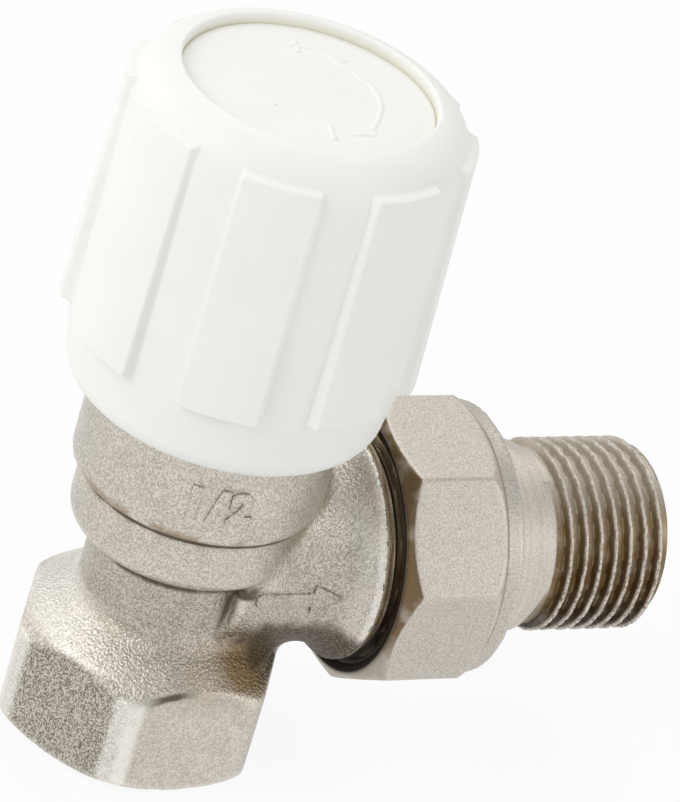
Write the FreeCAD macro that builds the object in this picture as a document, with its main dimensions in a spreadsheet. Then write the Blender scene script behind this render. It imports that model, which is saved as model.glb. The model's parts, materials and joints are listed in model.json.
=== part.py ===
import FreeCAD, Part
import os
import re
import Sketcher
from FreeCAD import Placement, Rotation, Vector

# Angle radiator valve with a rising spindle, a ribbed handwheel and a union tail.
# Origin: centre of the inlet mouth. +Z: up the spindle. +X: out along the union tail. Millimetres.

# Driving sizes: name, value, meaning. Lengths in millimetres, angles in degrees.
SIZES = [
    # Foot with the female inlet thread
    ("hex_across_flats", 26.8, "hexagon foot across flats"),
    ("hex_corner_round", 3.0, "rounding of the hexagon's upright corners"),
    ("foot_face_dia", 26.8, "turned circle on the foot's lower face"),
    ("foot_chamfer_height", 1.5, "height of the turned chamfer under the foot"),
    ("shoulder_low_height", 10.4, "height at which the shoulder leaves the hexagon's corners"),
    ("shoulder_top_height", 15.9, "height at which the shoulder meets the neck"),
    ("shoulder_bulge_radius", 40.0, "radius of the shoulder's bulging section"),
    ("inlet_thread_bore_dia", 18.63, "minor diameter of the half inch pipe thread"),
    ("inlet_depth", 12.5, "depth of the inlet thread"),
    ("inlet_cone_height", 1.6, "height of the drill cone above the inlet thread"),
    # Column
    ("neck_dia", 18.4, "neck between foot and band"),
    ("neck_spread", 1.3, "width of the hollow rounding at the foot of the neck"),
    ("neck_rise", 1.7, "height of that rounding above the shoulder"),
    ("neck_drop", 0.95, "depth of that rounding below the shoulder's top"),
    ("neck_round", 3.2, "radius of that rounding"),
    ("band_dia", 24.4, "band round the chamber"),
    ("band_bottom_height", 24.0, "underside of the band"),
    ("band_round", 2.0, "rounding under the band"),
    ("collar_dia", 26.8, "collar that takes the bonnet"),
    ("collar_bottom_height", 31.0, "underside of the collar"),
    ("collar_round", 1.0, "rounding under the collar"),
    ("body_height", 42.0, "top of the collar"),
    # Seat and chamber
    ("seat_bore_dia", 10.6, "water way through the seat"),
    ("seat_dia", 13.0, "outside of the raised seat"),
    ("seat_height", 17.0, "level of the seat face"),
    ("seat_rise", 1.2, "rise of the seat above the chamber floor"),
    ("chamber_dia", 15.0, "chamber round the closing disc"),
    # Outlet horn and spigot
    ("tail_axis_height", 22.5, "height of the outlet axis"),
    ("horn_start", 3.0, "start of the horn from the spindle axis"),
    ("horn_dia", 21.4, "outlet horn"),
    ("horn_length", 18.2, "spindle axis to the cast edge of the horn"),
    ("flare_dia", 25.8, "cast edge at the end of the horn"),
    ("flare_round", 5.0, "hollow rounding that widens the horn to its cast edge"),
    ("flare_lip", 0.25, "thickness of the cast edge"),
    ("union_thread_dia", 25.5, "spigot thread that takes the union nut"),
    ("spigot_length", 8.2, "spigot beyond the cast edge"),
    ("spigot_chamfer", 0.8, "chamfer at the spigot's end"),
    ("outlet_bore_dia", 12.8, "water way of the outlet"),
    # Bonnet
    ("bonnet_thread_dia", 20.7, "thread of the bonnet in the collar"),
    ("bonnet_thread_length", 10.7, "bonnet below the collar's top"),
    ("bonnet_floor_gap", 0.3, "room under the bonnet"),
    ("bonnet_flange_dia", 25.2, "flange on the collar's top"),
    ("bonnet_flange_thick", 1.5, "thickness of the flange"),
    ("bonnet_hex_flats", 21.0, "bonnet hexagon across flats"),
    ("bonnet_hex_height", 4.8, "height of the bonnet hexagon"),
    ("bonnet_neck_dia", 17.0, "round top of the bonnet"),
    ("bonnet_neck_height", 3.7, "height of the bonnet's round top"),
    ("body_seal_section", 1.7, "cord of the ring under the flange"),
    ("body_seal_gap", 0.05, "room round the ring under the flange"),
    ("body_seal_mean_dia", 20.6, "mean diameter of the ring under the flange"),
    # Spindle and its packing
    ("spindle_thread_dia", 9.0, "lifting thread of the spindle"),
    ("spindle_lift", 3.75, "travel of the spindle from shut to open"),
    ("spindle_stop_gap", 0.25, "room left above the spindle's shoulder when open"),
    ("stem_dia", 7.0, "plain stem of the spindle"),
    ("guide_length", 2.5, "stem guide above the lifting thread"),
    ("running_clear", 0.05, "radial clearance of turning fits"),
    ("thread_clear", 0.05, "radial clearance of screwed fits"),
    ("packing_bore_dia", 11.2, "packing chamber"),
    ("packing_section", 1.9, "cord of the two packing rings"),
    ("packing_gap", 0.05, "room round each packing ring"),
    ("spacer_thick", 0.8, "spacer between the packing rings"),
    ("gland_thread_dia", 13.0, "thread of the gland nut"),
    ("gland_hex_flats", 15.0, "gland nut across flats"),
    ("gland_hex_height", 3.0, "height of the gland nut's hexagon"),
    # Closing disc
    ("washer_thick", 2.5, "thickness of the rubber seat washer"),
    ("washer_dia", 12.9, "outside of the rubber seat washer"),
    ("jumper_dia", 14.0, "disc that carries the seat washer"),
    ("jumper_plate", 2.0, "thickness of the jumper's plate"),
    ("jumper_rim_drop", 1.3, "rim of the jumper round the washer"),
    ("jumper_stem_dia", 4.9, "jumper stem inside the spindle"),
    ("jumper_stem_length", 7.0, "length of the jumper stem"),
    ("jumper_bore_gap", 0.5, "room above the jumper stem"),
    ("clip_height", 5.0, "clip above the jumper's plate"),
    ("clip_wire", 0.84, "wire of the clip that keeps the jumper in"),
    ("clip_gap", 0.18, "room round the clip's wire"),
    ("clip_slack", 0.05, "room beside the clip in the jumper's groove"),
    ("clip_opening", 40.0, "opening of the clip in degrees"),
    ("washer_screw_dia", 2.8, "thread of the washer screw"),
    ("washer_screw_head_dia", 5.6, "head of the washer screw"),
    ("washer_screw_head", 1.6, "height of the washer screw's head"),
    ("washer_screw_length", 6.5, "length of the washer screw"),
    # Handwheel
    ("wheel_gap", 2.0, "gland nut to the handwheel's hub"),
    ("square_across", 5.0, "driving square of the spindle"),
    ("square_length", 13.0, "length of the driving square"),
    ("square_clear", 0.06, "clearance at each side of the square"),
    ("socket_gap", 0.4, "room above the square"),
    ("hub_dia", 13.0, "hub of the handwheel"),
    ("hub_web", 2.4, "hub above the square"),
    ("screw_pit_dia", 9.0, "pit for the handwheel screw's head"),
    ("screw_pit_depth", 3.2, "depth of the pit"),
    ("disc_pocket_dia", 26.4, "recess in the handwheel's top"),
    ("disc_clear", 0.1, "clearance round the cover disc"),
    ("disc_thick", 1.8, "thickness of the cover disc"),
    ("disc_recess", 1.3, "cover disc below the rim"),
    ("deck_thick", 2.5, "deck under the cover disc"),
    ("skirt_overlap", 0.7, "skirt below the collar's top"),
    ("drum_dia", 35.4, "handwheel at the lower end of the ribs"),
    ("skirt_dia", 33.8, "handwheel where the skirt's lower rounding starts"),
    ("skirt_round", 3.0, "rounding of the skirt's lower edge"),
    ("crown_dia", 35.0, "handwheel above the ribs"),
    ("crown_round", 4.9, "rounding of the crown"),
    ("skirt_clear", 0.4, "room between skirt and collar"),
    ("rib_low_dia", 37.8, "over the ribs at their lower end"),
    ("rib_high_dia", 36.2, "over the ribs at their upper end"),
    ("rib_low_rise", 8.1, "lower end of the ribs above the skirt's edge"),
    ("rib_high_drop", 2.9, "upper end of the ribs below the rim"),
    ("rib_root", 1.5, "wall between the cavity and the roots of the ribs"),
    ("rib_angle", 25.8, "width of one rib in degrees"),
    ("rib_phase", 15.0, "turn of the first rib from +X in degrees"),
    ("web_thick", 1.6, "stiffening webs inside the handwheel"),
    ("web_rise", 12.0, "lower edge of the webs above the hub's lower end"),
    ("wheel_screw_dia", 3.9, "thread of the handwheel screw"),
    ("wheel_screw_head_dia", 6.8, "head of the handwheel screw"),
    ("wheel_screw_head", 2.0, "height of the handwheel screw's head"),
    ("wheel_screw_length", 12.0, "length of the handwheel screw"),
    ("wheel_screw_slot", 1.0, "width of the slot in the head"),
    ("wheel_screw_slot_depth", 1.1, "depth of the slot in the head"),
    ("screw_washer_dia", 8.4, "washer under the handwheel screw"),
    ("screw_washer_thick", 0.8, "thickness of that washer"),
    # Union
    ("gasket_thick", 1.5, "gasket between spigot and tail"),
    ("gasket_inset", 0.3, "gasket inside the tail's head"),
    ("tail_head_clear", 0.6, "room between the tail's head and the nut"),
    ("tail_head_thick", 2.5, "thickness of the tail's head"),
    ("tail_collar_dia", 20.7, "plain part of the tail"),
    ("tail_collar_length", 6.4, "plain part of the tail beyond the nut"),
    ("tail_thread_dia", 20.955, "half inch pipe thread of the tail"),
    ("tail_thread_length", 14.0, "length of the tail's thread with its run-out groove"),
    ("tail_groove_dia", 18.6, "run-out groove of the tail's thread"),
    ("tail_groove_length", 1.0, "length of the run-out groove"),
    ("tail_end_chamfer", 1.0, "chamfer at the tail's end"),
    ("tail_bore_dia", 12.4, "water way of the tail"),
    ("tail_key_flats", 13.0, "hexagon key socket in the tail"),
    ("tail_key_depth", 9.0, "depth of the key socket"),
    ("nut_across_flats", 30.0, "octagon of the union nut across flats"),
    ("nut_gap", 1.5, "cast edge of the horn to the nut"),
    ("nut_shoulder", 1.1, "octagon beyond the tail's head"),
    ("nut_collar_dia", 29.4, "turned collar of the nut"),
    ("nut_collar_length", 2.0, "length of the nut's collar"),
    ("nut_pass_clear", 0.3, "room between the nut and the tail's thread"),
    ("nut_face_dia", 29.06, "turned circle on the nut's open face"),
    ("nut_chamfer_length", 1.46, "length of the chamfer at the open face"),
    ("nut_back_chamfer", 1.0, "length of the chamfer at the collar"),
    ("nut_mouth_dia", 27.5, "lead-in of the nut's thread"),
    ("nut_mouth_depth", 0.8, "depth of the lead-in"),
    ("nut_phase", 10.0, "turn of the nut's first flat in degrees"),
]
NAMES = {name for name, _, _ in SIZES}
# How far a cut runs past the face or the corner that it removes
MARGIN = "1"
CORNER_MARGIN = "0.1"
RIB_COUNT = 8
WEB_COUNT = 6
SQUARE = 4
HEX = 6
OCTAGON = 8

# Levels up the spindle, worked out from the driving sizes
CHAMBER_FLOOR = "(seat_height - seat_rise)"
WASHER_TOP = "(seat_height + washer_thick)"
PLATE_TOP = f"({WASHER_TOP} + jumper_plate)"
CLIP_LEVEL = f"({PLATE_TOP} + clip_height)"
BONNET_BOTTOM = "(body_height - bonnet_thread_length)"
BONNET_FLOOR = f"({BONNET_BOTTOM} - bonnet_floor_gap)"
SEAL_ROOM = "(body_seal_section + 2 * body_seal_gap)"
SEAL_FLOOR = f"(body_height - {SEAL_ROOM})"
FLANGE_TOP = "(body_height + bonnet_flange_thick)"
BONNET_HEX_TOP = f"({FLANGE_TOP} + bonnet_hex_height)"
BONNET_TOP = f"({BONNET_HEX_TOP} + bonnet_neck_height)"
SPINDLE_STOP = f"({FLANGE_TOP} - guide_length)"
SPINDLE_SHOULDER = f"({SPINDLE_STOP} - spindle_stop_gap - spindle_lift)"
RING_ROOM = "(packing_section + 2 * packing_gap)"
SPACER_BOTTOM = f"({FLANGE_TOP} + {RING_ROOM})"
SPACER_TOP = f"({SPACER_BOTTOM} + spacer_thick)"
PACKING_TOP = f"({SPACER_TOP} + {RING_ROOM})"
GLAND_TOP = f"({BONNET_TOP} + gland_hex_height)"
HUB_BOTTOM = f"({GLAND_TOP} + wheel_gap)"
SPINDLE_TOP = f"({HUB_BOTTOM} + square_length)"
SOCKET_TOP = f"({SPINDLE_TOP} + socket_gap)"
SCREW_SEAT = f"({SOCKET_TOP} + hub_web)"
SCREW_HEAD_BOTTOM = f"({SCREW_SEAT} + screw_washer_thick)"
DISC_SEAT = f"({SCREW_SEAT} + screw_pit_depth)"
DISC_TOP = f"({DISC_SEAT} + disc_thick)"
WHEEL_TOP = f"({DISC_TOP} + disc_recess)"
WHEEL_BOTTOM = "(body_height - skirt_overlap)"
DECK_BOTTOM = f"({DISC_SEAT} - deck_thick)"
RIB_BOTTOM = f"({WHEEL_BOTTOM} + rib_low_rise)"
RIB_TOP = f"({WHEEL_TOP} - rib_high_drop)"

# Places along the outlet axis, worked out from the driving sizes
SPIGOT_END = "(horn_length + spigot_length)"
GASKET_END = f"({SPIGOT_END} + gasket_thick)"
HEAD_END = f"({GASKET_END} + tail_head_thick)"
NUT_FACE = "(horn_length + nut_gap)"
NUT_FLATS_END = f"({HEAD_END} + nut_shoulder)"
NUT_END = f"({NUT_FLATS_END} + nut_collar_length)"
THREAD_START = f"({NUT_END} + tail_collar_length)"
TAIL_END = f"({THREAD_START} + tail_thread_length)"

# Radii shared by pieces that fit each other
HEX_REACH = f"(hex_across_flats / 2 / cos(30) + {CORNER_MARGIN})"
NUT_REACH = f"(nut_across_flats / 2 / cos(22.5) + {CORNER_MARGIN})"
NUT_BORE = "(union_thread_dia / 2 + thread_clear)"
HEAD_RADIUS = f"({NUT_BORE} - tail_head_clear)"
GASKET_RADIUS = f"({HEAD_RADIUS} - gasket_inset)"
SPINDLE_BORE = "(jumper_stem_dia / 2 + running_clear)"
STEM_BORE = "(stem_dia / 2 + running_clear)"
SEAL_INNER = "(body_seal_mean_dia / 2 - body_seal_section / 2 - body_seal_gap)"
SEAL_OUTER = "(body_seal_mean_dia / 2 + body_seal_section / 2 + body_seal_gap)"
PACKING_MEAN = f"(({STEM_BORE} + packing_bore_dia / 2) / 2)"
WHEEL_CAVITY = "(collar_dia / 2 + skirt_clear)"

LEFT, RIGHT = 1, -1

doc = FreeCAD.newDocument("radiator_valve")
sheet = doc.addObject("Spreadsheet::Sheet", "Sizes")
for row, (alias, size, meaning) in enumerate(SIZES, start=1):
    sheet.set(f"A{row}", meaning)
    sheet.set(f"B{row}", str(size))
    sheet.setAlias(f"B{row}", alias)
doc.recompute()


def bound(text):
    """Expression in which every size name is tied to the sheet."""
    return re.sub(r"[a-z]\w*", lambda word: f"Sizes.{word[0]}" if word[0] in NAMES else word[0], text)


def value(text):
    """Present value of an expression."""
    return float(sheet.evalExpression(bound(text)))


def half(size):
    """Expression for half of a named size."""
    return f"{size} / 2"


def new_body(label):
    """Empty body that becomes one piece of the valve."""
    body = doc.addObject("PartDesign::Body", label)
    body.Label = label
    return body


def along_outlet(body):
    """Lay a body that was drawn upright along the outlet axis."""
    body.Placement = Placement(Vector(0, 0, value("tail_axis_height")), Rotation(Vector(0, 1, 0), 90))
    body.setExpression("Placement.Base.z", bound("tail_axis_height"))


def pin(sketch, line, end, kind, text, axis):
    """Tie one coordinate of a line's end to an expression."""
    size = value(text)
    if abs(size) < 1e-9:
        sketch.addConstraint(Sketcher.Constraint("PointOnObject", line, end, axis))
        return
    index = sketch.addConstraint(Sketcher.Constraint(kind, -1, 1, line, end, size))
    sketch.setExpression(f"Constraints[{index}]", bound(text))


def arc_between(start, finish, radius, turn):
    """Arc from start to finish that turns LEFT or RIGHT."""
    chord = finish - start
    middle = (start + finish) / 2
    height = (radius**2 - chord.Length**2 / 4) ** 0.5
    centre = middle + Vector(-chord.y, chord.x, 0).normalize() * height * turn
    circle = Part.Circle(centre, Vector(0, 0, 1), radius)
    first, last = (start, finish) if turn == LEFT else (finish, start)
    return Part.ArcOfCircle(circle, circle.parameter(first), circle.parameter(last))


def draw(body, name, points, plane="XZ_Plane", shift=None):
    """Closed outline on one of the body's planes.

    A point is a pair of expressions. A third and fourth entry, a radius and a turn,
    make the run that leaves the point an arc. The shift moves the outline's own origin.
    """
    sketch = body.newObject("Sketcher::SketchObject", name)
    support = next(item for item in body.Origin.OriginFeatures if item.Role == plane)
    sketch.AttachmentSupport = [(support, "")]
    sketch.MapMode = "FlatFace"
    if shift:
        direction = "z" if plane == "XY_Plane" else "y"
        sketch.setExpression(f"AttachmentOffset.Base.{direction}", bound(shift))
    corners = [Vector(value(point[0]), value(point[1]), 0) for point in points]
    runs = []
    for index, point in enumerate(points):
        start, finish = corners[index], corners[(index + 1) % len(corners)]
        if len(point) == 2:
            sketch.addGeometry(Part.LineSegment(start, finish))
            runs.append((1, 2))
        else:
            sketch.addGeometry(arc_between(start, finish, value(point[2]), point[3]))
            runs.append((1, 2) if point[3] == LEFT else (2, 1))
    for index, point in enumerate(points):
        following = (index + 1) % len(points)
        ends = (index, runs[index][1], following, runs[following][0])
        sketch.addConstraint(Sketcher.Constraint("Coincident", *ends))
        pin(sketch, index, runs[index][0], "DistanceX", point[0], -2)
        pin(sketch, index, runs[index][0], "DistanceY", point[1], -1)
        if len(point) > 2:
            number = sketch.addConstraint(Sketcher.Constraint("Radius", index, value(point[2])))
            sketch.setExpression(f"Constraints[{number}]", bound(point[2]))
    return sketch


def turn(body, name, points, kind="Revolution", axis="V_Axis", shift=None):
    """Solid of revolution added to the body, or cut from it when kind is Groove."""
    sketch = draw(body, f"{name}_outline", points, shift=shift)
    feature = body.newObject(f"PartDesign::{kind}", name)
    feature.Profile = sketch
    feature.ReferenceAxis = (sketch, [axis])
    feature.Angle = 360
    return feature


def bore(body, name, points, axis="V_Axis", shift=None):
    """Turned cut in the body."""
    return turn(body, name, points, "Groove", axis, shift)


def ring(inner, outer, low, high):
    """Outline of a plain ring or hole between two radii and two levels."""
    return [(inner, low), (outer, low), (outer, high), (inner, high)]


def polygon(sides, across, phase="0"):
    """Corners of a regular polygon that has a flat towards the phase angle."""
    reach = f"{across} / 2 / cos({180 / sides})"
    angles = [f"({phase} + {360 / sides * (index + 0.5)})" for index in range(sides)]
    return [(f"{reach} * cos({angle})", f"{reach} * sin({angle})") for angle in angles]


def raise_outline(body, name, points, level, length):
    """Prism of an outline from a level upwards."""
    sketch = draw(body, f"{name}_outline", points, "XY_Plane", level)
    pad = body.newObject("PartDesign::Pad", name)
    pad.Profile = sketch
    pad.setExpression("Length", bound(length))
    return pad


def sink_outline(body, name, points, level, depth):
    """Pocket of an outline that goes up into the body from a level."""
    sketch = draw(body, f"{name}_outline", points, "XY_Plane", level)
    pocket = body.newObject("PartDesign::Pocket", name)
    pocket.Profile = sketch
    pocket.Reversed = True
    pocket.setExpression("Length", bound(depth))
    return pocket


def repeat(body, name, feature, count):
    """Copies of a feature round the body's upright axis."""
    axis = next(item for item in body.Origin.OriginFeatures if item.Role == "Z_Axis")
    pattern = body.newObject("PartDesign::PolarPattern", name)
    pattern.Originals = [feature]
    pattern.Axis = (axis, [""])
    pattern.Angle = 360
    pattern.Occurrences = count
    body.Tip = pattern
    return pattern


def round_uprights(body, name, radius):
    """Round every straight upright edge that the body has so far."""
    doc.recompute()
    base = body.Tip
    edges = []
    for index, edge in enumerate(base.Shape.Edges, start=1):
        if isinstance(edge.Curve, Part.Line) and abs(edge.Curve.Direction.z) > 0.999:
            edges.append(f"Edge{index}")
    fillet = body.newObject("PartDesign::Fillet", name)
    fillet.Base = (base, edges)
    fillet.setExpression("Radius", bound(radius))


def make_valve_body():
    """Cast and plated body: hexagon foot, column, outlet horn and all water ways."""
    body = new_body("valve_body")
    raise_outline(body, "foot", polygon(HEX, "hex_across_flats", "90"), "0", "shoulder_top_height")
    round_uprights(body, "foot_corners", "hex_corner_round")
    bore(body, "shoulder", [
        (HEX_REACH, "shoulder_low_height", "shoulder_bulge_radius", LEFT),
        (half("neck_dia"), "shoulder_top_height"),
        (HEX_REACH, "shoulder_top_height"),
    ])
    bore(body, "foot_chamfer", [
        (half("foot_face_dia"), "0"),
        (HEX_REACH, "0"),
        (HEX_REACH, "foot_chamfer_height"),
    ])
    turn(body, "column", [
        ("0", "inlet_depth"),
        (f"{half('neck_dia')} + neck_spread", "inlet_depth"),
        (f"{half('neck_dia')} + neck_spread", "shoulder_top_height - neck_drop", "neck_round", RIGHT),
        (half("neck_dia"), "shoulder_top_height + neck_rise"),
        (half("neck_dia"), "band_bottom_height"),
        (f"{half('band_dia')} - band_round", "band_bottom_height", "band_round", LEFT),
        (half("band_dia"), "band_bottom_height + band_round"),
        (half("band_dia"), "collar_bottom_height"),
        (f"{half('collar_dia')} - collar_round", "collar_bottom_height", "collar_round", LEFT),
        (half("collar_dia"), "collar_bottom_height + collar_round"),
        (half("collar_dia"), "body_height"),
        ("0", "body_height"),
    ])
    lip = "(horn_length - flare_lip)"
    flare_rise = "((flare_dia - horn_dia) / 2)"
    flare_start = f"({lip} - sqrt({flare_rise} * (2 * flare_round - {flare_rise})))"
    turn(body, "horn", [
        ("horn_start", "0"),
        (SPIGOT_END, "0"),
        (SPIGOT_END, f"{half('union_thread_dia')} - spigot_chamfer"),
        (f"{SPIGOT_END} - spigot_chamfer", half("union_thread_dia")),
        ("horn_length", half("union_thread_dia")),
        ("horn_length", half("flare_dia")),
        (lip, half("flare_dia"), "flare_round", RIGHT),
        (flare_start, half("horn_dia")),
        ("horn_start", half("horn_dia")),
    ], axis="H_Axis", shift="tail_axis_height")
    bore(body, "inlet", [
        ("0", "0"),
        (half("inlet_thread_bore_dia"), "0"),
        (half("inlet_thread_bore_dia"), "inlet_depth"),
        (half("seat_bore_dia"), "inlet_depth + inlet_cone_height"),
        (half("seat_bore_dia"), "seat_height"),
        ("0", "seat_height"),
    ])
    bore(body, "chamber", [
        ("0", CHAMBER_FLOOR),
        (half("chamber_dia"), CHAMBER_FLOOR),
        (half("chamber_dia"), BONNET_FLOOR),
        (f"{half('bonnet_thread_dia')} + thread_clear", BONNET_FLOOR),
        (f"{half('bonnet_thread_dia')} + thread_clear", SEAL_FLOOR),
        (SEAL_OUTER, SEAL_FLOOR),
        (SEAL_OUTER, "body_height"),
        ("0", "body_height"),
    ])
    outlet = ring("0", SPIGOT_END, "0", half("outlet_bore_dia"))
    bore(body, "outlet", outlet, axis="H_Axis", shift="tail_axis_height")
    seat_root = "inlet_depth + inlet_cone_height"
    turn(body, "seat", ring(half("seat_bore_dia"), half("seat_dia"), seat_root, "seat_height"))
    return body


def make_bonnet():
    """Turned headwork with its spanner hexagon, lifting thread and packing chamber."""
    body = new_body("bonnet")
    turn(body, "turned", [
        ("0", BONNET_BOTTOM),
        (half("bonnet_thread_dia"), BONNET_BOTTOM),
        (half("bonnet_thread_dia"), SEAL_FLOOR),
        (SEAL_INNER, SEAL_FLOOR),
        (SEAL_INNER, "body_height"),
        (half("bonnet_flange_dia"), "body_height"),
        (half("bonnet_flange_dia"), FLANGE_TOP),
        (half("bonnet_neck_dia"), FLANGE_TOP),
        (half("bonnet_neck_dia"), BONNET_TOP),
        ("0", BONNET_TOP),
    ])
    raise_outline(body, "hexagon", polygon(HEX, "bonnet_hex_flats"), FLANGE_TOP, "bonnet_hex_height")
    lifting = f"{half('spindle_thread_dia')} + thread_clear"
    gland = f"{half('gland_thread_dia')} + thread_clear"
    bore(body, "bores", [
        ("0", BONNET_BOTTOM),
        (lifting, BONNET_BOTTOM),
        (lifting, SPINDLE_STOP),
        (STEM_BORE, SPINDLE_STOP),
        (STEM_BORE, FLANGE_TOP),
        (half("packing_bore_dia"), FLANGE_TOP),
        (half("packing_bore_dia"), PACKING_TOP),
        (gland, PACKING_TOP),
        (gland, BONNET_TOP),
        ("0", BONNET_TOP),
    ])
    return body


def make_gland_nut():
    """Nut that closes the packing chamber."""
    body = new_body("gland_nut")
    turn(body, "spigot", ring("0", half("gland_thread_dia"), PACKING_TOP, BONNET_TOP))
    raise_outline(body, "hexagon", polygon(HEX, "gland_hex_flats"), BONNET_TOP, "gland_hex_height")
    bore(body, "stem_bore", ring("0", STEM_BORE, PACKING_TOP, GLAND_TOP))
    return body


def make_ring(label, inner, outer, low, high):
    """Plain turned ring."""
    body = new_body(label)
    turn(body, "section", ring(inner, outer, low, high))
    return body


def make_seal(label, mean_radius, section, level):
    """Ring of round cord."""
    seal = doc.addObject("Part::Torus", label)
    seal.Label = label
    seal.setExpression("Radius1", bound(mean_radius))
    seal.setExpression("Radius2", bound(half(section)))
    seal.Placement = Placement(Vector(0, 0, value(level)), Rotation())
    seal.setExpression("Placement.Base.z", bound(level))
    return seal


def make_spindle():
    """Rising spindle: lifting thread, plain stem and driving square."""
    body = new_body("spindle")
    turn(body, "turned", [
        ("0", PLATE_TOP),
        (half("spindle_thread_dia"), PLATE_TOP),
        (half("spindle_thread_dia"), SPINDLE_SHOULDER),
        (half("stem_dia"), SPINDLE_SHOULDER),
        (half("stem_dia"), HUB_BOTTOM),
        ("0", HUB_BOTTOM),
    ])
    raise_outline(body, "square", polygon(SQUARE, "square_across", "rib_phase"), HUB_BOTTOM, "square_length")
    clip_room = "(clip_wire / 2 + clip_gap)"
    bore(body, "jumper_bore", [
        ("0", PLATE_TOP),
        (SPINDLE_BORE, PLATE_TOP),
        (SPINDLE_BORE, f"{CLIP_LEVEL} - {clip_room}"),
        (f"{SPINDLE_BORE} + {clip_room}", f"{CLIP_LEVEL} - {clip_room}"),
        (f"{SPINDLE_BORE} + {clip_room}", f"{CLIP_LEVEL} + {clip_room}"),
        (SPINDLE_BORE, f"{CLIP_LEVEL} + {clip_room}"),
        (SPINDLE_BORE, f"{PLATE_TOP} + jumper_stem_length + jumper_bore_gap"),
        ("0", f"{PLATE_TOP} + jumper_stem_length + jumper_bore_gap"),
    ])
    screw_end = f"{SCREW_HEAD_BOTTOM} - wheel_screw_length - {MARGIN}"
    bore(body, "screw_hole", ring("0", f"{half('wheel_screw_dia')} + thread_clear", screw_end, SPINDLE_TOP))
    return body


def make_jumper():
    """Disc holder whose stem swivels in the spindle."""
    body = new_body("jumper")
    groove = "(clip_wire / 2)"
    groove_low = f"{CLIP_LEVEL} - {groove} - clip_slack"
    groove_high = f"{CLIP_LEVEL} + {groove} + clip_slack"
    stem = half("jumper_stem_dia")
    stem_top = f"({PLATE_TOP} + jumper_stem_length)"
    turn(body, "turned", [
        ("0", WASHER_TOP),
        (f"{half('washer_dia')} + running_clear", WASHER_TOP),
        (f"{half('washer_dia')} + running_clear", f"{WASHER_TOP} - jumper_rim_drop"),
        (half("jumper_dia"), f"{WASHER_TOP} - jumper_rim_drop"),
        (half("jumper_dia"), PLATE_TOP),
        (stem, PLATE_TOP),
        (stem, groove_low),
        (f"{stem} - {groove}", groove_low),
        (f"{stem} - {groove}", groove_high),
        (stem, groove_high),
        (stem, stem_top),
        ("0", stem_top),
    ])
    screw_end = f"seat_height + washer_screw_length + {MARGIN} / 2"
    bore(body, "screw_hole", ring("0", f"{half('washer_screw_dia')} + thread_clear", WASHER_TOP, screw_end))
    return body


def make_jumper_clip():
    """Open wire ring that keeps the jumper in the spindle."""
    clip = make_seal("jumper_clip", f"{half('jumper_stem_dia')} + running_clear", "clip_wire", CLIP_LEVEL)
    clip.setExpression("Angle3", bound("360 - clip_opening"))
    return clip


def make_washer_screw():
    """Screw that holds the seat washer in the jumper."""
    body = new_body("washer_screw")
    turn(body, "turned", [
        ("0", "seat_height - washer_screw_head"),
        (half("washer_screw_head_dia"), "seat_height - washer_screw_head"),
        (half("washer_screw_head_dia"), "seat_height"),
        (half("washer_screw_dia"), "seat_height"),
        (half("washer_screw_dia"), "seat_height + washer_screw_length"),
        ("0", "seat_height + washer_screw_length"),
    ])
    return body


def make_handwheel():
    """Moulded handwheel: drum, ribs, hub with a square socket, webs and a recess for the disc."""
    body = new_body("handwheel")
    turn(body, "drum", [
        ("0", WHEEL_BOTTOM),
        (f"{half('skirt_dia')} - skirt_round", WHEEL_BOTTOM, "skirt_round", LEFT),
        (half("skirt_dia"), f"{WHEEL_BOTTOM} + skirt_round"),
        (half("drum_dia"), RIB_BOTTOM),
        (half("crown_dia"), f"{WHEEL_TOP} - crown_round", "crown_round", LEFT),
        (f"{half('crown_dia')} - crown_round", WHEEL_TOP),
        ("0", WHEEL_TOP),
    ])
    rib = turn(body, "rib", [
        (f"{WHEEL_CAVITY} + rib_root", RIB_BOTTOM),
        (half("rib_low_dia"), RIB_BOTTOM),
        (half("rib_high_dia"), RIB_TOP),
        (f"{WHEEL_CAVITY} + rib_root", RIB_TOP),
    ])
    rib.setExpression("Angle", bound("rib_angle"))
    rib.Midplane = True
    repeat(body, "ribs", rib, RIB_COUNT)
    bore(body, "cavity", [
        ("0", f"{WHEEL_BOTTOM} - {MARGIN}"),
        (WHEEL_CAVITY, f"{WHEEL_BOTTOM} - {MARGIN}"),
        (WHEEL_CAVITY, DECK_BOTTOM),
        (half("hub_dia"), DECK_BOTTOM),
        (half("hub_dia"), HUB_BOTTOM),
        ("0", HUB_BOTTOM),
    ])
    web = body.newObject("PartDesign::Pad", "web")
    web.Profile = draw(body, "web_outline", ring(
        f"{half('hub_dia')} - web_thick", f"{WHEEL_CAVITY} + web_thick / 2",
        f"{HUB_BOTTOM} + web_rise", f"{DECK_BOTTOM} + web_thick / 2"))
    web.Midplane = True
    web.setExpression("Length", bound("web_thick"))
    repeat(body, "webs", web, WEB_COUNT)
    socket = polygon(SQUARE, "(square_across + 2 * square_clear)")
    sink_outline(body, "socket", socket, HUB_BOTTOM, "square_length + socket_gap")
    bore(body, "recess", [
        ("0", f"{SOCKET_TOP} - {MARGIN}"),
        (f"{half('wheel_screw_dia')} + square_clear", f"{SOCKET_TOP} - {MARGIN}"),
        (f"{half('wheel_screw_dia')} + square_clear", SCREW_SEAT),
        (half("screw_pit_dia"), SCREW_SEAT),
        (half("screw_pit_dia"), DISC_SEAT),
        (half("disc_pocket_dia"), DISC_SEAT),
        (half("disc_pocket_dia"), f"{WHEEL_TOP} + {MARGIN}"),
        ("0", f"{WHEEL_TOP} + {MARGIN}"),
    ])
    body.Placement = Placement(Vector(), Rotation(Vector(0, 0, 1), value("rib_phase")))
    body.setExpression("Placement.Rotation.Angle", bound("rib_phase"))
    return body


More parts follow.
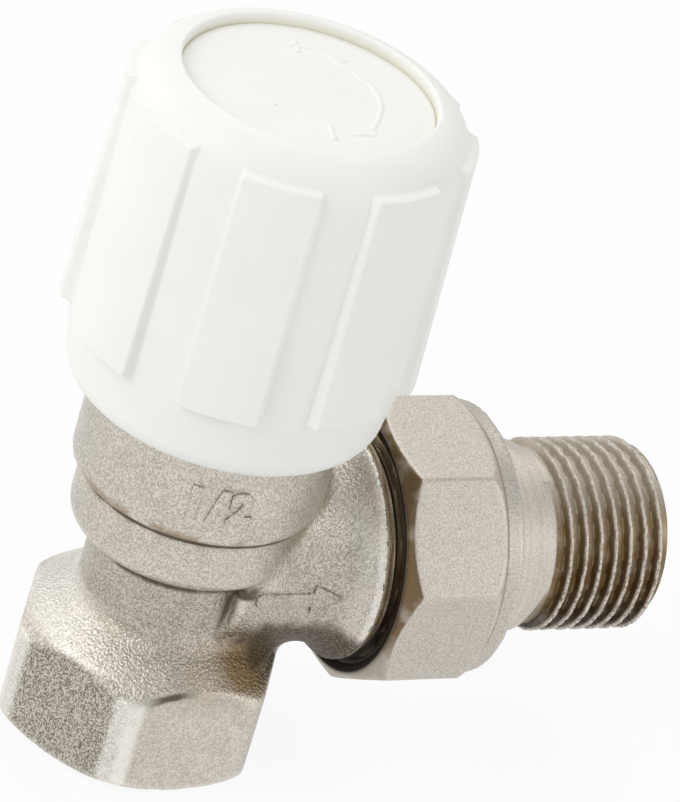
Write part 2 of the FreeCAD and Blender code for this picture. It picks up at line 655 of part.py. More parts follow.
def make_handwheel_screw():
    """Slotted screw that holds the handwheel on the spindle."""
    body = new_body("handwheel_screw")
    head_top = f"({SCREW_HEAD_BOTTOM} + wheel_screw_head)"
    screw_end = f"({SCREW_HEAD_BOTTOM} - wheel_screw_length)"
    turn(body, "turned", [
        ("0", screw_end),
        (half("wheel_screw_dia"), screw_end),
        (half("wheel_screw_dia"), SCREW_HEAD_BOTTOM),
        (half("wheel_screw_head_dia"), SCREW_HEAD_BOTTOM),
        (half("wheel_screw_head_dia"), head_top),
        ("0", head_top),
    ])
    long, wide = "wheel_screw_head_dia", half("wheel_screw_slot")
    slot = ring(f"-{long}", long, f"-{wide}", wide)
    sink_outline(body, "slot", slot, f"{head_top} - wheel_screw_slot_depth", "wheel_screw_slot_depth")
    return body


def make_union_nut():
    """Eight sided nut with a turned collar."""
    body = new_body("union_nut")
    flats = polygon(OCTAGON, "nut_across_flats", "nut_phase")
    raise_outline(body, "octagon", flats, NUT_FACE, f"{NUT_FLATS_END} - {NUT_FACE}")
    turn(body, "collar", ring("0", half("nut_collar_dia"), HEAD_END, NUT_END))
    bore(body, "front_chamfer", [
        (half("nut_face_dia"), NUT_FACE),
        (NUT_REACH, NUT_FACE),
        (NUT_REACH, f"{NUT_FACE} + nut_chamfer_length"),
    ])
    bore(body, "back_chamfer", [
        (half("nut_across_flats"), NUT_FLATS_END),
        (NUT_REACH, f"{NUT_FLATS_END} - nut_back_chamfer"),
        (NUT_REACH, NUT_FLATS_END),
    ])
    tail_pass = f"({half('tail_thread_dia')} + nut_pass_clear)"
    bore(body, "bores", [
        ("0", NUT_FACE),
        (half("nut_mouth_dia"), NUT_FACE),
        (NUT_BORE, f"{NUT_FACE} + nut_mouth_depth"),
        (NUT_BORE, HEAD_END),
        (tail_pass, HEAD_END),
        (tail_pass, NUT_END),
        ("0", NUT_END),
    ])
    along_outlet(body)
    return body


def make_union_tail():
    """Tail with a head under the nut, a key socket and the radiator's pipe thread."""
    body = new_body("union_tail")
    turn(body, "turned", [
        (half("tail_bore_dia"), GASKET_END),
        (HEAD_RADIUS, GASKET_END),
        (HEAD_RADIUS, HEAD_END),
        (half("tail_collar_dia"), HEAD_END),
        (half("tail_collar_dia"), THREAD_START),
        (half("tail_groove_dia"), THREAD_START),
        (half("tail_groove_dia"), f"{THREAD_START} + tail_groove_length"),
        (half("tail_thread_dia"), f"{THREAD_START} + tail_groove_length"),
        (half("tail_thread_dia"), f"{TAIL_END} - tail_end_chamfer"),
        (f"{half('tail_thread_dia')} - tail_end_chamfer", TAIL_END),
        (half("tail_bore_dia"), TAIL_END),
    ])
    sink_outline(body, "key_socket", polygon(HEX, "tail_key_flats"), GASKET_END, "tail_key_depth")
    along_outlet(body)
    return body


def make_union_gasket():
    """Flat ring between the spigot and the tail."""
    key_room = "tail_key_flats / 2 / cos(30)"
    gasket = make_ring("union_gasket", key_room, GASKET_RADIUS, SPIGOT_END, GASKET_END)
    along_outlet(gasket)
    return gasket


pieces = [
    make_valve_body(),
    make_bonnet(),
    make_seal("bonnet_seal", half("body_seal_mean_dia"), "body_seal_section",
              f"body_height - {SEAL_ROOM} / 2"),
    make_gland_nut(),
    make_seal("packing_ring_lower", PACKING_MEAN, "packing_section", f"{FLANGE_TOP} + {RING_ROOM} / 2"),
    make_ring("packing_spacer", STEM_BORE, f"{half('packing_bore_dia')} - packing_gap",
              SPACER_BOTTOM, SPACER_TOP),
    make_seal("packing_ring_upper", PACKING_MEAN, "packing_section", f"{SPACER_TOP} + {RING_ROOM} / 2"),
    make_spindle(),
    make_jumper(),
    make_jumper_clip(),
    make_ring("seat_washer", f"{half('washer_screw_dia')} + thread_clear", half("washer_dia"),
              "seat_height", WASHER_TOP),
    make_washer_screw(),
    make_handwheel(),
    make_handwheel_screw(),
    make_ring("screw_washer", f"{half('wheel_screw_dia')} + square_clear", half("screw_washer_dia"),
              SCREW_SEAT, SCREW_HEAD_BOTTOM),
    make_ring("cover_disc", "0", f"{half('disc_pocket_dia')} - disc_clear", DISC_SEAT, DISC_TOP),
    make_union_nut(),
    make_union_tail(),
    make_union_gasket(),
]
doc.recompute()

for item in doc.Objects:
    if "Invalid" in item.State or "Error" in item.State:
        raise RuntimeError(f"{item.Label} did not build: {item.State}")
for piece in pieces:
    if piece.Shape.isNull() or not piece.Shape.isValid():
        raise RuntimeError(f"{piece.Label} has no valid shape")

os.makedirs("parts", exist_ok=True)
for piece in pieces:
    piece.Shape.exportStep(f"parts/{piece.Label}.step")
    print(piece.Label, len(piece.Shape.Solids), round(piece.Shape.Volume, 1))
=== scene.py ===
import json
import logging
import math
from dataclasses import dataclass
from enum import Enum
from typing import Any, Callable, Mapping, Sequence

import bmesh
import bpy
import numpy as np
from mathutils import Matrix, Vector


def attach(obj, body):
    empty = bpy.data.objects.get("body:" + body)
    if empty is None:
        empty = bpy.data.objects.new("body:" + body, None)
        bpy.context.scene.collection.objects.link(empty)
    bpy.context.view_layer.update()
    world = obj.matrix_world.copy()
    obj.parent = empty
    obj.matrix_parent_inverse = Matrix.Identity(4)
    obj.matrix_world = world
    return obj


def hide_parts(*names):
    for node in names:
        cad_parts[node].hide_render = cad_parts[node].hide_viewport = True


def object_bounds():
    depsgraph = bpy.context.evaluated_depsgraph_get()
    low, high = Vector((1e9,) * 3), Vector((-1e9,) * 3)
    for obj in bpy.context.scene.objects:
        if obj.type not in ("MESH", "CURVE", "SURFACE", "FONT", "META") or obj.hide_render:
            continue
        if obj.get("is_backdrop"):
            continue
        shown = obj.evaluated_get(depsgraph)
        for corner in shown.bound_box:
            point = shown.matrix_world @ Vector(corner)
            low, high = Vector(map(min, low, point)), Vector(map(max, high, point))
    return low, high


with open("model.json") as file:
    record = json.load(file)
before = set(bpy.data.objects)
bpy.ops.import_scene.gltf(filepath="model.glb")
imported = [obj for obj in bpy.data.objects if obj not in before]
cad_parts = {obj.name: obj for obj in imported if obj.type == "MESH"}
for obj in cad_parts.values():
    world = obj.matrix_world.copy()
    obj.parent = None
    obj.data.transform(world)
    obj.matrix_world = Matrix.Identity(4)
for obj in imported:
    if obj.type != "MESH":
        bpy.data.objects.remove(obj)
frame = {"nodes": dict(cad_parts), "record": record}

# Dress of an angle radiator valve: cast and plated body, ribbed handwheel, union nut and threaded tail.
# Sizes in the classes are millimetres in the frame's own axes; meshes are metres.
# A span is a pair of limits: a mask goes from 0 at its first value to 1 at its second.
# Weights in the finishes are shares of 1.

LOG = logging.getLogger("radiator_valve")
MM = 0.001
SEED = 7.0
AXIS_HEIGHT = 22.5
TINY = 1e-6
MARK_FOOT = (0.3, 0.8)

Point = tuple[float, float]
Span = tuple[float, float]
Colour = tuple[float, float, float]


class Body(Enum):
    """Rigid bodies of the frame that carry new pieces."""

    VALVE = "valve"
    WHEEL = "handwheel_set"
    TAIL = "tail"
    NUT = "nut"


class Axis(Enum):
    """Axis that a turned piece is made round."""

    SPINDLE = "spindle"
    OUTLET = "outlet"


class Term:
    """Output of a node, which takes part in arithmetic as a number does."""

    def __init__(self, graph: "Graph", socket: bpy.types.NodeSocket) -> None:
        """Keep the graph and the socket."""
        self.graph = graph
        self.socket = socket

    def calc(self, operation: str, *operands: Any, **settings: Any) -> "Term":
        """Add a Math node.

        Args:
            operation: name of the Math node's operation.
            operands: terms or numbers, in the order of the node's sockets.
            settings: further settings of the node.

        Returns:
            The node's output.
        """
        sockets = dict(zip(("Value", "Value_001", "Value_002"), operands))
        return self.graph.node("ShaderNodeMath", {"operation": operation, **settings}, sockets)

    def __add__(self, other: Any) -> "Term":
        """Sum."""
        return self.calc("ADD", self, other)

    __radd__ = __add__

    def __sub__(self, other: Any) -> "Term":
        """Difference."""
        return self.calc("SUBTRACT", self, other)

    def __rsub__(self, other: Any) -> "Term":
        """Difference from a number."""
        return self.calc("SUBTRACT", other, self)

    def __mul__(self, other: Any) -> "Term":
        """Product."""
        return self.calc("MULTIPLY", self, other)

    __rmul__ = __mul__

    def __truediv__(self, other: Any) -> "Term":
        """Quotient."""
        return self.calc("DIVIDE", self, other)

    def __rtruediv__(self, other: Any) -> "Term":
        """Quotient of a number and this value."""
        return self.calc("DIVIDE", other, self)

    def root(self) -> "Term":
        """Square root."""
        return self.calc("SQRT", self)

    def magnitude(self) -> "Term":
        """Value without its sign."""
        return self.calc("ABSOLUTE", self)

    def least(self, other: Any) -> "Term":
        """Smaller of two values."""
        return self.calc("MINIMUM", self, other)

    def most(self, other: Any) -> "Term":
        """Larger of two values."""
        return self.calc("MAXIMUM", self, other)

    def clamped(self) -> "Term":
        """Value held between 0 and 1."""
        return self.calc("ADD", self, 0.0, use_clamp=True)

    def ramp(self, low: Any, high: Any) -> "Term":
        """Smooth step from 0 at low to 1 at high."""
        sockets = {"Value": self, "From Min": low, "From Max": high, "To Min": 0.0, "To Max": 1.0}
        return self.graph.node("ShaderNodeMapRange", {"interpolation_type": "SMOOTHSTEP"}, sockets)


Spot = tuple[Term, Term, Term]


def distance(*parts: Term) -> Term:
    """Length of a vector with the given components."""
    squares = [part * part for part in parts]
    return sum(squares[1:], squares[0]).root()


class Graph:
    """Node tree that is filled by one node-making method."""

    def __init__(self, tree: bpy.types.NodeTree) -> None:
        """Start from an empty tree."""
        self.tree = tree
        tree.nodes.clear()

    def node(self, kind: str, settings: Mapping[str, Any] | None = None,
             sockets: Mapping[str, Any] | None = None, output: str = "") -> Term:
        """Add a node.

        Args:
            kind: Blender's name of the node type.
            settings: properties of the node, set before its sockets.
            sockets: values or terms by the socket's identifier or name.
            output: name or identifier of the wanted output; the first one in use by default.

        Returns:
            The wanted output.
        """
        made = self.tree.nodes.new(kind)
        for name, setting in (settings or {}).items():
            setattr(made, name, setting)
        for name, content in (sockets or {}).items():
            socket = self._find(made.inputs, name)
            if isinstance(content, Term):
                self.tree.links.new(content.socket, socket)
            else:
                socket.default_value = content
        outputs = [socket for socket in made.outputs if socket.enabled]
        if not outputs:
            return Term(self, None)
        return Term(self, self._find(made.outputs, output) if output else outputs[0])

    def _find(self, sockets: Sequence[bpy.types.NodeSocket], name: str) -> bpy.types.NodeSocket:
        """Socket in use that has this identifier or name."""
        for socket in sockets:
            if socket.enabled and name in (socket.identifier, socket.name):
                return socket
        raise KeyError(f"no socket {name} among {[socket.identifier for socket in sockets]}")

    def beside(self, term: Term, *names: str) -> list[Term]:
        """Other outputs, by name, of the node that made a term."""
        return [Term(self, term.socket.node.outputs[name]) for name in names]

    def split(self, vector: Term) -> Spot:
        """Three components of a vector."""
        first = self.node("ShaderNodeSeparateXYZ", {}, {"Vector": vector}, "X")
        return (first, *self.beside(first, "Y", "Z"))

    def joined(self, x: Any, y: Any, z: Any = 0.0) -> Term:
        """Vector of three components."""
        return self.node("ShaderNodeCombineXYZ", {}, {"X": x, "Y": y, "Z": z})


class Painter(Graph):
    """Shader tree with the patterns that the finishes share."""

    def place(self) -> Term:
        """Object coordinates in millimetres."""
        spot = self.node("ShaderNodeTexCoord", output="Object")
        return self.node("ShaderNodeVectorMath", {"operation": "SCALE"}, {"Vector": spot, "Scale": 1 / MM})

    def noise(self, place: Term, size: float, detail: float = 2.0, rough: float = 0.55) -> Term:
        """Noise between 0 and 1 whose features are about as large as size, in millimetres."""
        sockets = {"Vector": place, "Scale": 1 / size, "Detail": detail, "Roughness": rough}
        return self.node("ShaderNodeTexNoise", {"noise_dimensions": "3D"}, sockets, "Fac")

    def pebbles(self, place: Term, size: float, softness: float = 0.6) -> Term:
        """Distance from the middle of rounded grains of the given size, in millimetres."""
        settings = {"feature": "SMOOTH_F1", "voronoi_dimensions": "3D"}
        sockets = {"Vector": place, "Scale": 1 / size, "Smoothness": softness}
        return self.node("ShaderNodeTexVoronoi", settings, sockets, "Distance")

    def mark(self, name: str) -> Term:
        """Number that the mesh stores under a name."""
        settings = {"attribute_name": name, "attribute_type": "GEOMETRY"}
        return self.node("ShaderNodeAttribute", settings, {}, "Fac")

    def blend(self, factor: Term | float, first: Any, second: Any) -> Term:
        """Colour between two colours."""
        colours = [(*entry, 1.0) if isinstance(entry, tuple) else entry for entry in (first, second)]
        sockets = {"Factor_Float": factor, "A_Color": colours[0], "B_Color": colours[1]}
        return self.node("ShaderNodeMix", {"data_type": "RGBA"}, sockets, "Result_Color")

    def relief(self, height: Term, depth: float) -> Term:
        """Normal of a relief of the given depth in millimetres."""
        sockets = {"Strength": 1.0, "Distance": depth * MM, "Height": height}
        return self.node("ShaderNodeBump", {}, sockets, "Normal")

    def surface(self, **sockets: Any) -> None:
        """Principled surface with the given sockets, joined to the output."""
        named = {name.replace("_", " "): content for name, content in sockets.items()}
        shader = self.node("ShaderNodeBsdfPrincipled", {}, named, "BSDF")
        self.node("ShaderNodeOutputMaterial", {}, {"Surface": shader})


class Shaping(Graph):
    """Geometry Nodes tree with named sizes, which ends in Realize Instances and Set Material."""

    def __init__(self, name: str, sizes: Mapping[str, float]) -> None:
        """Make the tree's inputs.

        Args:
            name: name of the tree.
            sizes: value of each named input, in metres, radians or counts.
        """
        super().__init__(bpy.data.node_groups.new(name, "GeometryNodeTree"))
        interface = self.tree.interface
        for way in ("INPUT", "OUTPUT"):
            interface.new_socket("Geometry", in_out=way, socket_type="NodeSocketGeometry")
        self.values: dict[str, float] = {}
        for label, value in sizes.items():
            made = interface.new_socket(label, in_out="INPUT", socket_type="NodeSocketFloat")
            self.values[made.identifier] = float(value)
        inputs = self.tree.nodes.new("NodeGroupInput").outputs
        self.geometry = Term(self, inputs["Geometry"])
        self.sizes = [Term(self, inputs[label]) for label in sizes]

    def spot(self) -> Spot:
        """Components of a vertex's position."""
        return self.split(self.node("GeometryNodeInputPosition"))

    def moved(self, geometry: Term, x: Term, y: Term, z: Term) -> Term:
        """Geometry with its vertices at new positions."""
        sockets = {"Geometry": geometry, "Position": self.joined(x, y, z)}
        return self.node("GeometryNodeSetPosition", {}, sockets)

    def shape(self, source: bpy.types.ID, geometry: Term, finish: "Finish") -> bpy.types.Mesh:
        """Close the tree and run it on a mesh or curve.

        Args:
            source: mesh or curve that goes into the tree.
            geometry: last geometry of the tree.
            finish: look that the result gets.

        Returns:
            A plain mesh.
        """
        plain = self.node("GeometryNodeRealizeInstances", {}, {"Geometry": geometry})
        sockets = {"Geometry": plain, "Material": finish.material()}
        dressed = self.node("GeometryNodeSetMaterial", {}, sockets)
        self.node("NodeGroupOutput", {}, {"Geometry": dressed})
        return plain_mesh(self.tree.name, source, self.fit)

    def fit(self, holder: bpy.types.Object) -> None:
        """Give an object the tree as a modifier, with the value of each input."""
        modifier = holder.modifiers.new("shaping", "NODES")
        modifier.node_group = self.tree
        for identifier, value in self.values.items():
            modifier[identifier] = value


def linked(name: str, data: bpy.types.ID) -> bpy.types.Object:
    """New object in the scene."""
    made = bpy.data.objects.new(name, data)
    bpy.context.scene.collection.objects.link(made)
    return made


def plain_mesh(name: str, data: bpy.types.ID,
               fit: Callable[[bpy.types.Object], None] | None = None) -> bpy.types.Mesh:
    """Plain mesh of a mesh, curve or text.

    Args:
        name: name of the object that holds the data meanwhile.
        data: mesh, curve or text.
        fit: gives that object its modifiers, which are removed again.

    Returns:
        A mesh with the modifiers applied.
    """
    holder = linked(name, data)
    if fit:
        fit(holder)
    graph = bpy.context.evaluated_depsgraph_get()
    graph.update()
    mesh = bpy.data.meshes.new_from_object(holder.evaluated_get(graph), depsgraph=graph)
    holder.modifiers.clear()
    bpy.data.objects.remove(holder)
    return mesh


def arc(centre: Point, radius: float, start: float, end: float, steps: int) -> list[Point]:
    """Points on a circular arc; angles in degrees."""
    angles = np.radians(np.linspace(start, end, steps + 1))
    return [(centre[0] + radius * math.cos(a), centre[1] + radius * math.sin(a)) for a in angles]


def line(start: Point, end: Point, step: float) -> list[Point]:
    """Points from start to end, end left out, about step apart."""
    count = max(1, round(math.dist(start, end) / step))
    shares = [index / count for index in range(count)]
    return [(start[0] + (end[0] - start[0]) * s, start[1] + (end[1] - start[1]) * s) for s in shares]


def round_corners(points: Sequence[Point], radius: float, steps: int = 3) -> list[Point]:
    """Closed outline whose corners are rounded.

    Args:
        points: corners of the outline.
        radius: length that the rounding takes from each side, at most a third of it.
        steps: straight runs in each rounding.

    Returns:
        Points of the rounded outline.
    """
    rounded: list[Point] = []
    for index, corner in enumerate(points):
        here = np.array(corner)
        ends = []
        for other in (points[index - 1], points[(index + 1) % len(points)]):
            run = np.array(other) - here
            length = float(np.linalg.norm(run))
            ends.append(here + run / length * min(radius, length / 3))
        for share in np.linspace(0, 1, steps + 1):
            spot = (1 - share) ** 2 * ends[0] + 2 * share * (1 - share) * here + share**2 * ends[1]
            rounded.append((float(spot[0]), float(spot[1])))
    return rounded


def sleeve(back: float, crest: float, first: float, last: float, chamfer: float, row: float) -> list[Point]:
    """Closed section of a thread sleeve whose threaded wall ends in a chamfer.

    Args:
        back: radius of the plain wall.
        crest: radius of the threaded wall.
        first: place along the axis where the threaded wall starts.
        last: place along the axis where the chamfer ends.
        chamfer: length of the chamfer, which leads towards the plain wall.
        row: distance between the rows of the threaded wall.

    Returns:
        Points of radius and place along the axis.
    """
    bevel = (crest, last - math.copysign(chamfer, last - first))
    edge = (crest + math.copysign(chamfer, back - crest), last)
    wall = line((crest, first), bevel, row) + line(bevel, edge, row)
    return [(back, last), (back, first), *wall, edge]


def closed(mesh: bpy.types.Mesh) -> bpy.types.Mesh:
    """Merge doubles, which drops faces without area, and turn all faces outwards."""
    work = bmesh.new()
    work.from_mesh(mesh)
    bmesh.ops.remove_doubles(work, verts=work.verts, dist=TINY)
    bmesh.ops.recalc_face_normals(work, faces=work.faces)
    work.to_mesh(mesh)
    work.free()
    return mesh


def ring_mesh(name: str, grid: np.ndarray, endless: bool) -> bpy.types.Mesh:
    """Closed mesh through rings of points.

    Args:
        name: name of the mesh.
        grid: points in metres by ring and place in the ring.
        endless: whether the last ring leads back to the first; both get a flat cap otherwise.

    Returns:
        A mesh with its faces outwards.
    """
    index = np.arange(grid.shape[0] * grid.shape[1]).reshape(grid.shape[:2])
    here, after = (index, np.roll(index, -1, axis=0)) if endless else (index[:-1], index[1:])
    corners = [here, np.roll(here, -1, axis=1), np.roll(after, -1, axis=1), after]
    faces = np.stack(corners, axis=-1).reshape(-1, 4).tolist()
    if not endless:
        faces += [index[0].tolist(), index[-1].tolist()]
    mesh = bpy.data.meshes.new(name)
    mesh.from_pydata(grid.reshape(-1, 3).tolist(), [], faces)
    return closed(mesh)


def revolve(name: str, outline: Sequence[Point], angles: np.ndarray, axis: Axis) -> bpy.types.Mesh:
    """Turned mesh of a closed outline.

    Args:
        name: name of the mesh.
        outline: closed outline of radius and place along the axis, in millimetres.
        angles: angles of the columns, in radians, without the closing one.
        axis: axis of the turned piece.

    Returns:
        A closed mesh with its faces outwards.
    """
    radius, along = np.array(outline).T[:, :, None] * MM
    across = (radius * np.cos(angles), radius * np.sin(angles))
    along = np.broadcast_to(along, across[0].shape)
    if axis is Axis.SPINDLE:
        grid = np.stack([across[0], across[1], along], axis=-1)
    else:
        grid = np.stack([along, across[0], across[1] + AXIS_HEIGHT * MM], axis=-1)
    return ring_mesh(name, grid, True)


def even_angles(count: int) -> np.ndarray:
    """Evenly spread column angles in radians."""
    return np.linspace(0, 2 * math.pi, count, endpoint=False)


def smooth_shading(mesh: bpy.types.Mesh, crease: float) -> None:
    """Smooth shading that keeps edges sharper than crease, in degrees."""
    mesh.polygons.foreach_set("use_smooth", np.ones(len(mesh.polygons), dtype=bool))
    mesh.set_sharp_from_angle(angle=math.radians(crease))


def coordinates(mesh: bpy.types.Mesh) -> np.ndarray:
    """Vertex positions in metres."""
    spots = np.empty(len(mesh.vertices) * 3)
    mesh.vertices.foreach_get("co", spots)
    return spots.reshape(-1, 3)


def set_coordinates(mesh: bpy.types.Mesh, spots: np.ndarray) -> None:
    """Write vertex positions back."""
    mesh.vertices.foreach_set("co", spots.ravel())
    mesh.update()


def blended_copy(node: str, voxel: float, passes: int) -> bpy.types.Mesh:
    """Copy of a CAD node with an even mesh and softly blended edges.

    Args:
        node: name of the CAD node.
        voxel: size of the even mesh, in millimetres.
        passes: smoothing passes; more passes give rounder edges.

    Returns:
        A closed mesh.
    """
    def soften(holder: bpy.types.Object) -> None:
        """Even out the mesh, then smooth it."""
        remesh = holder.modifiers.new("even", "REMESH")
        remesh.mode = "VOXEL"
        remesh.voxel_size = voxel * MM
        smooth = holder.modifiers.new("soft", "SMOOTH")
        smooth.factor = 0.5
        smooth.iterations = passes

    result = plain_mesh(f"{node}_copy", closed(frame["nodes"][node].data.copy()), soften)
    result.materials.clear()
    return result


class Neighbours:
    """Averages over the neighbours of each vertex of a mesh."""

    def __init__(self, mesh: bpy.types.Mesh) -> None:
        """Keep the ends of the mesh's edges."""
        ends = np.empty(len(mesh.edges) * 2, dtype=np.int64)
        mesh.edges.foreach_get("vertices", ends)
        self.one, self.two = ends.reshape(-1, 2).T
        self.size = len(mesh.vertices)
        self.count = np.bincount(ends, minlength=self.size)

    def mean(self, values: np.ndarray) -> np.ndarray:
        """Average of the neighbours' values; one row for each vertex."""
        columns = []
        for column in values.T:
            total = np.bincount(self.one, column[self.two], self.size)
            columns.append((total + np.bincount(self.two, column[self.one], self.size)) / self.count)
        return np.stack(columns, axis=1)

    def relaxed(self, values: np.ndarray, rounds: int, share: np.ndarray | float = 1.0) -> np.ndarray:
        """Values after rounds of moving half way to the neighbours' average, weighted by share."""
        for _ in range(rounds):
            values = values + 0.5 * share * (self.mean(values) - values)
        return values


def departure(mesh: bpy.types.Mesh, reach: int) -> np.ndarray:
    """How far the surface lies below the average round it, in millimetres.

    Args:
        mesh: closed, even mesh.
        reach: rounds of averaging; more rounds see wider hollows.

    Returns:
        One value for each vertex: above 0 in hollows, below 0 on edges.
    """
    spots = coordinates(mesh)
    normals = np.empty(len(spots) * 3)
    mesh.vertices.foreach_get("normal", normals)
    average = Neighbours(mesh).relaxed(spots, reach)
    return np.einsum("ij,ij->i", average - spots, normals.reshape(-1, 3)) / MM


def store_number(mesh: bpy.types.Mesh, name: str, values: np.ndarray) -> None:
    """Store one number for each vertex, which a finish reads by its name."""
    stored = mesh.attributes.new(name, "FLOAT", "POINT")
    stored.data.foreach_set("value", values.astype(np.float32))


def store_wear(mesh: bpy.types.Mesh, reach: int, scale: float) -> None:
    """Store how hollow and how edge-like the surface is at each vertex.

    Args:
        mesh: closed, even mesh.
        reach: rounds of averaging; more rounds see wider hollows.
        scale: departure from the average that counts as full, in millimetres.
    """
    depart = departure(mesh, reach) / scale
    store_number(mesh, "hollow", np.clip(depart, 0, 1))
    store_number(mesh, "edge", np.clip(-depart, 0, 1))


def store_foot(mesh: bpy.types.Mesh, height: np.ndarray, hollow: np.ndarray | float) -> None:
    """Store a hollow round the foot of a raised mark.

    Args:
        mesh: the mark.
        height: height of each vertex as a share of the mark's rise.
        hollow: how hollow the foot counts, from 0 to 1.
    """
    store_number(mesh, "hollow", np.interp(height, MARK_FOOT, (1.0, 0.0)) * hollow)


def place_piece(name: str, mesh: bpy.types.Mesh, body: Body, finish: "Finish",
                replaced: Sequence[str] = (), crease: float = 35.0) -> None:
    """Make an object of a mesh and tie it to the frame.

    Args:
        name: name of the piece.
        mesh: mesh in the frame's coordinates.
        body: body that carries the piece.
        finish: look of the piece.
        replaced: CAD nodes that the piece stands for.
        crease: edges sharper than this many degrees stay sharp.
    """
    mesh.name = name
    mesh.materials.clear()
    mesh.materials.append(finish.material())
    smooth_shading(mesh, crease)
    piece = linked(name, mesh)
    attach(piece, body.value)
    if replaced:
        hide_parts(*replaced)
    LOG.info("%s rides on %s, %d faces", name, body.value, len(mesh.polygons))


def new_material(name: str) -> tuple[bpy.types.Material, Painter]:
    """Material with an empty node tree, and the painter that fills it."""
    made = bpy.data.materials.new(name)
    made.use_nodes = True
    return made, Painter(made.node_tree)


@dataclass(frozen=True)
class Finish:
    """Look of one material and the record's slot that it stands for."""

    name: str
    slot: str

    def material(self) -> bpy.types.Material:
        """Material of this finish, made at its first use."""
        known = bpy.data.materials.get(self.name)
        if known:
            return known
        made, painter = new_material(self.name)
        self.paint(painter)
        return made

    def paint(self, painter: Painter) -> None:
        """Fill the material's node tree."""
        raise NotImplementedError


@dataclass(frozen=True)
class Stain:
    """Soft round stain; its middle and its reach are in millimetres."""

    x: float
    y: float
    z: float
    reach: float
    border: Span = (1.15, 0.2)
    raggedness: float = 1.6

    def share(self, spot: Spot, ragged: Term) -> Term:
        """How strongly the stain covers a place.

        Args:
            spot: components of the place.
            ragged: noise that makes the stain's border uneven.

        Returns:
            A value from 0 to 1.
        """
        away = distance(*(part - middle for part, middle in zip(spot, (self.x, self.y, self.z))))
        away = away + self.raggedness * self.reach * (ragged - 0.5)
        return away.ramp(self.border[0] * self.reach, self.border[1] * self.reach)


@dataclass(frozen=True)
class CreaseShadow:
    """Painted shadow line round the spindle axis under a step of the column; sizes in millimetres."""

    level: float
    half: float
    radius: float
    depth: float = 0.4
    horn_side: Span = (8.5, 6.0)

    def share(self, spot: Spot) -> Term:
        """1 on the line, 0 away from it and beside the horn."""
        x, y, z = spot
        near = (z - self.level).magnitude().ramp(self.half, 0.5 * self.half)
        inside = (x * x + y * y).ramp(self.radius**2, (self.radius - self.depth) ** 2)
        return near * inside * x.ramp(*self.horn_side)


@dataclass(frozen=True)
class CastSkin:
    """Patterns that the layers of the cast finish share."""

    spot: Spot
    fine: Term
    coarse: Term
    pebble: Term
    cloud: Term
    patch: Term
    hollow: Term
    edge: Term


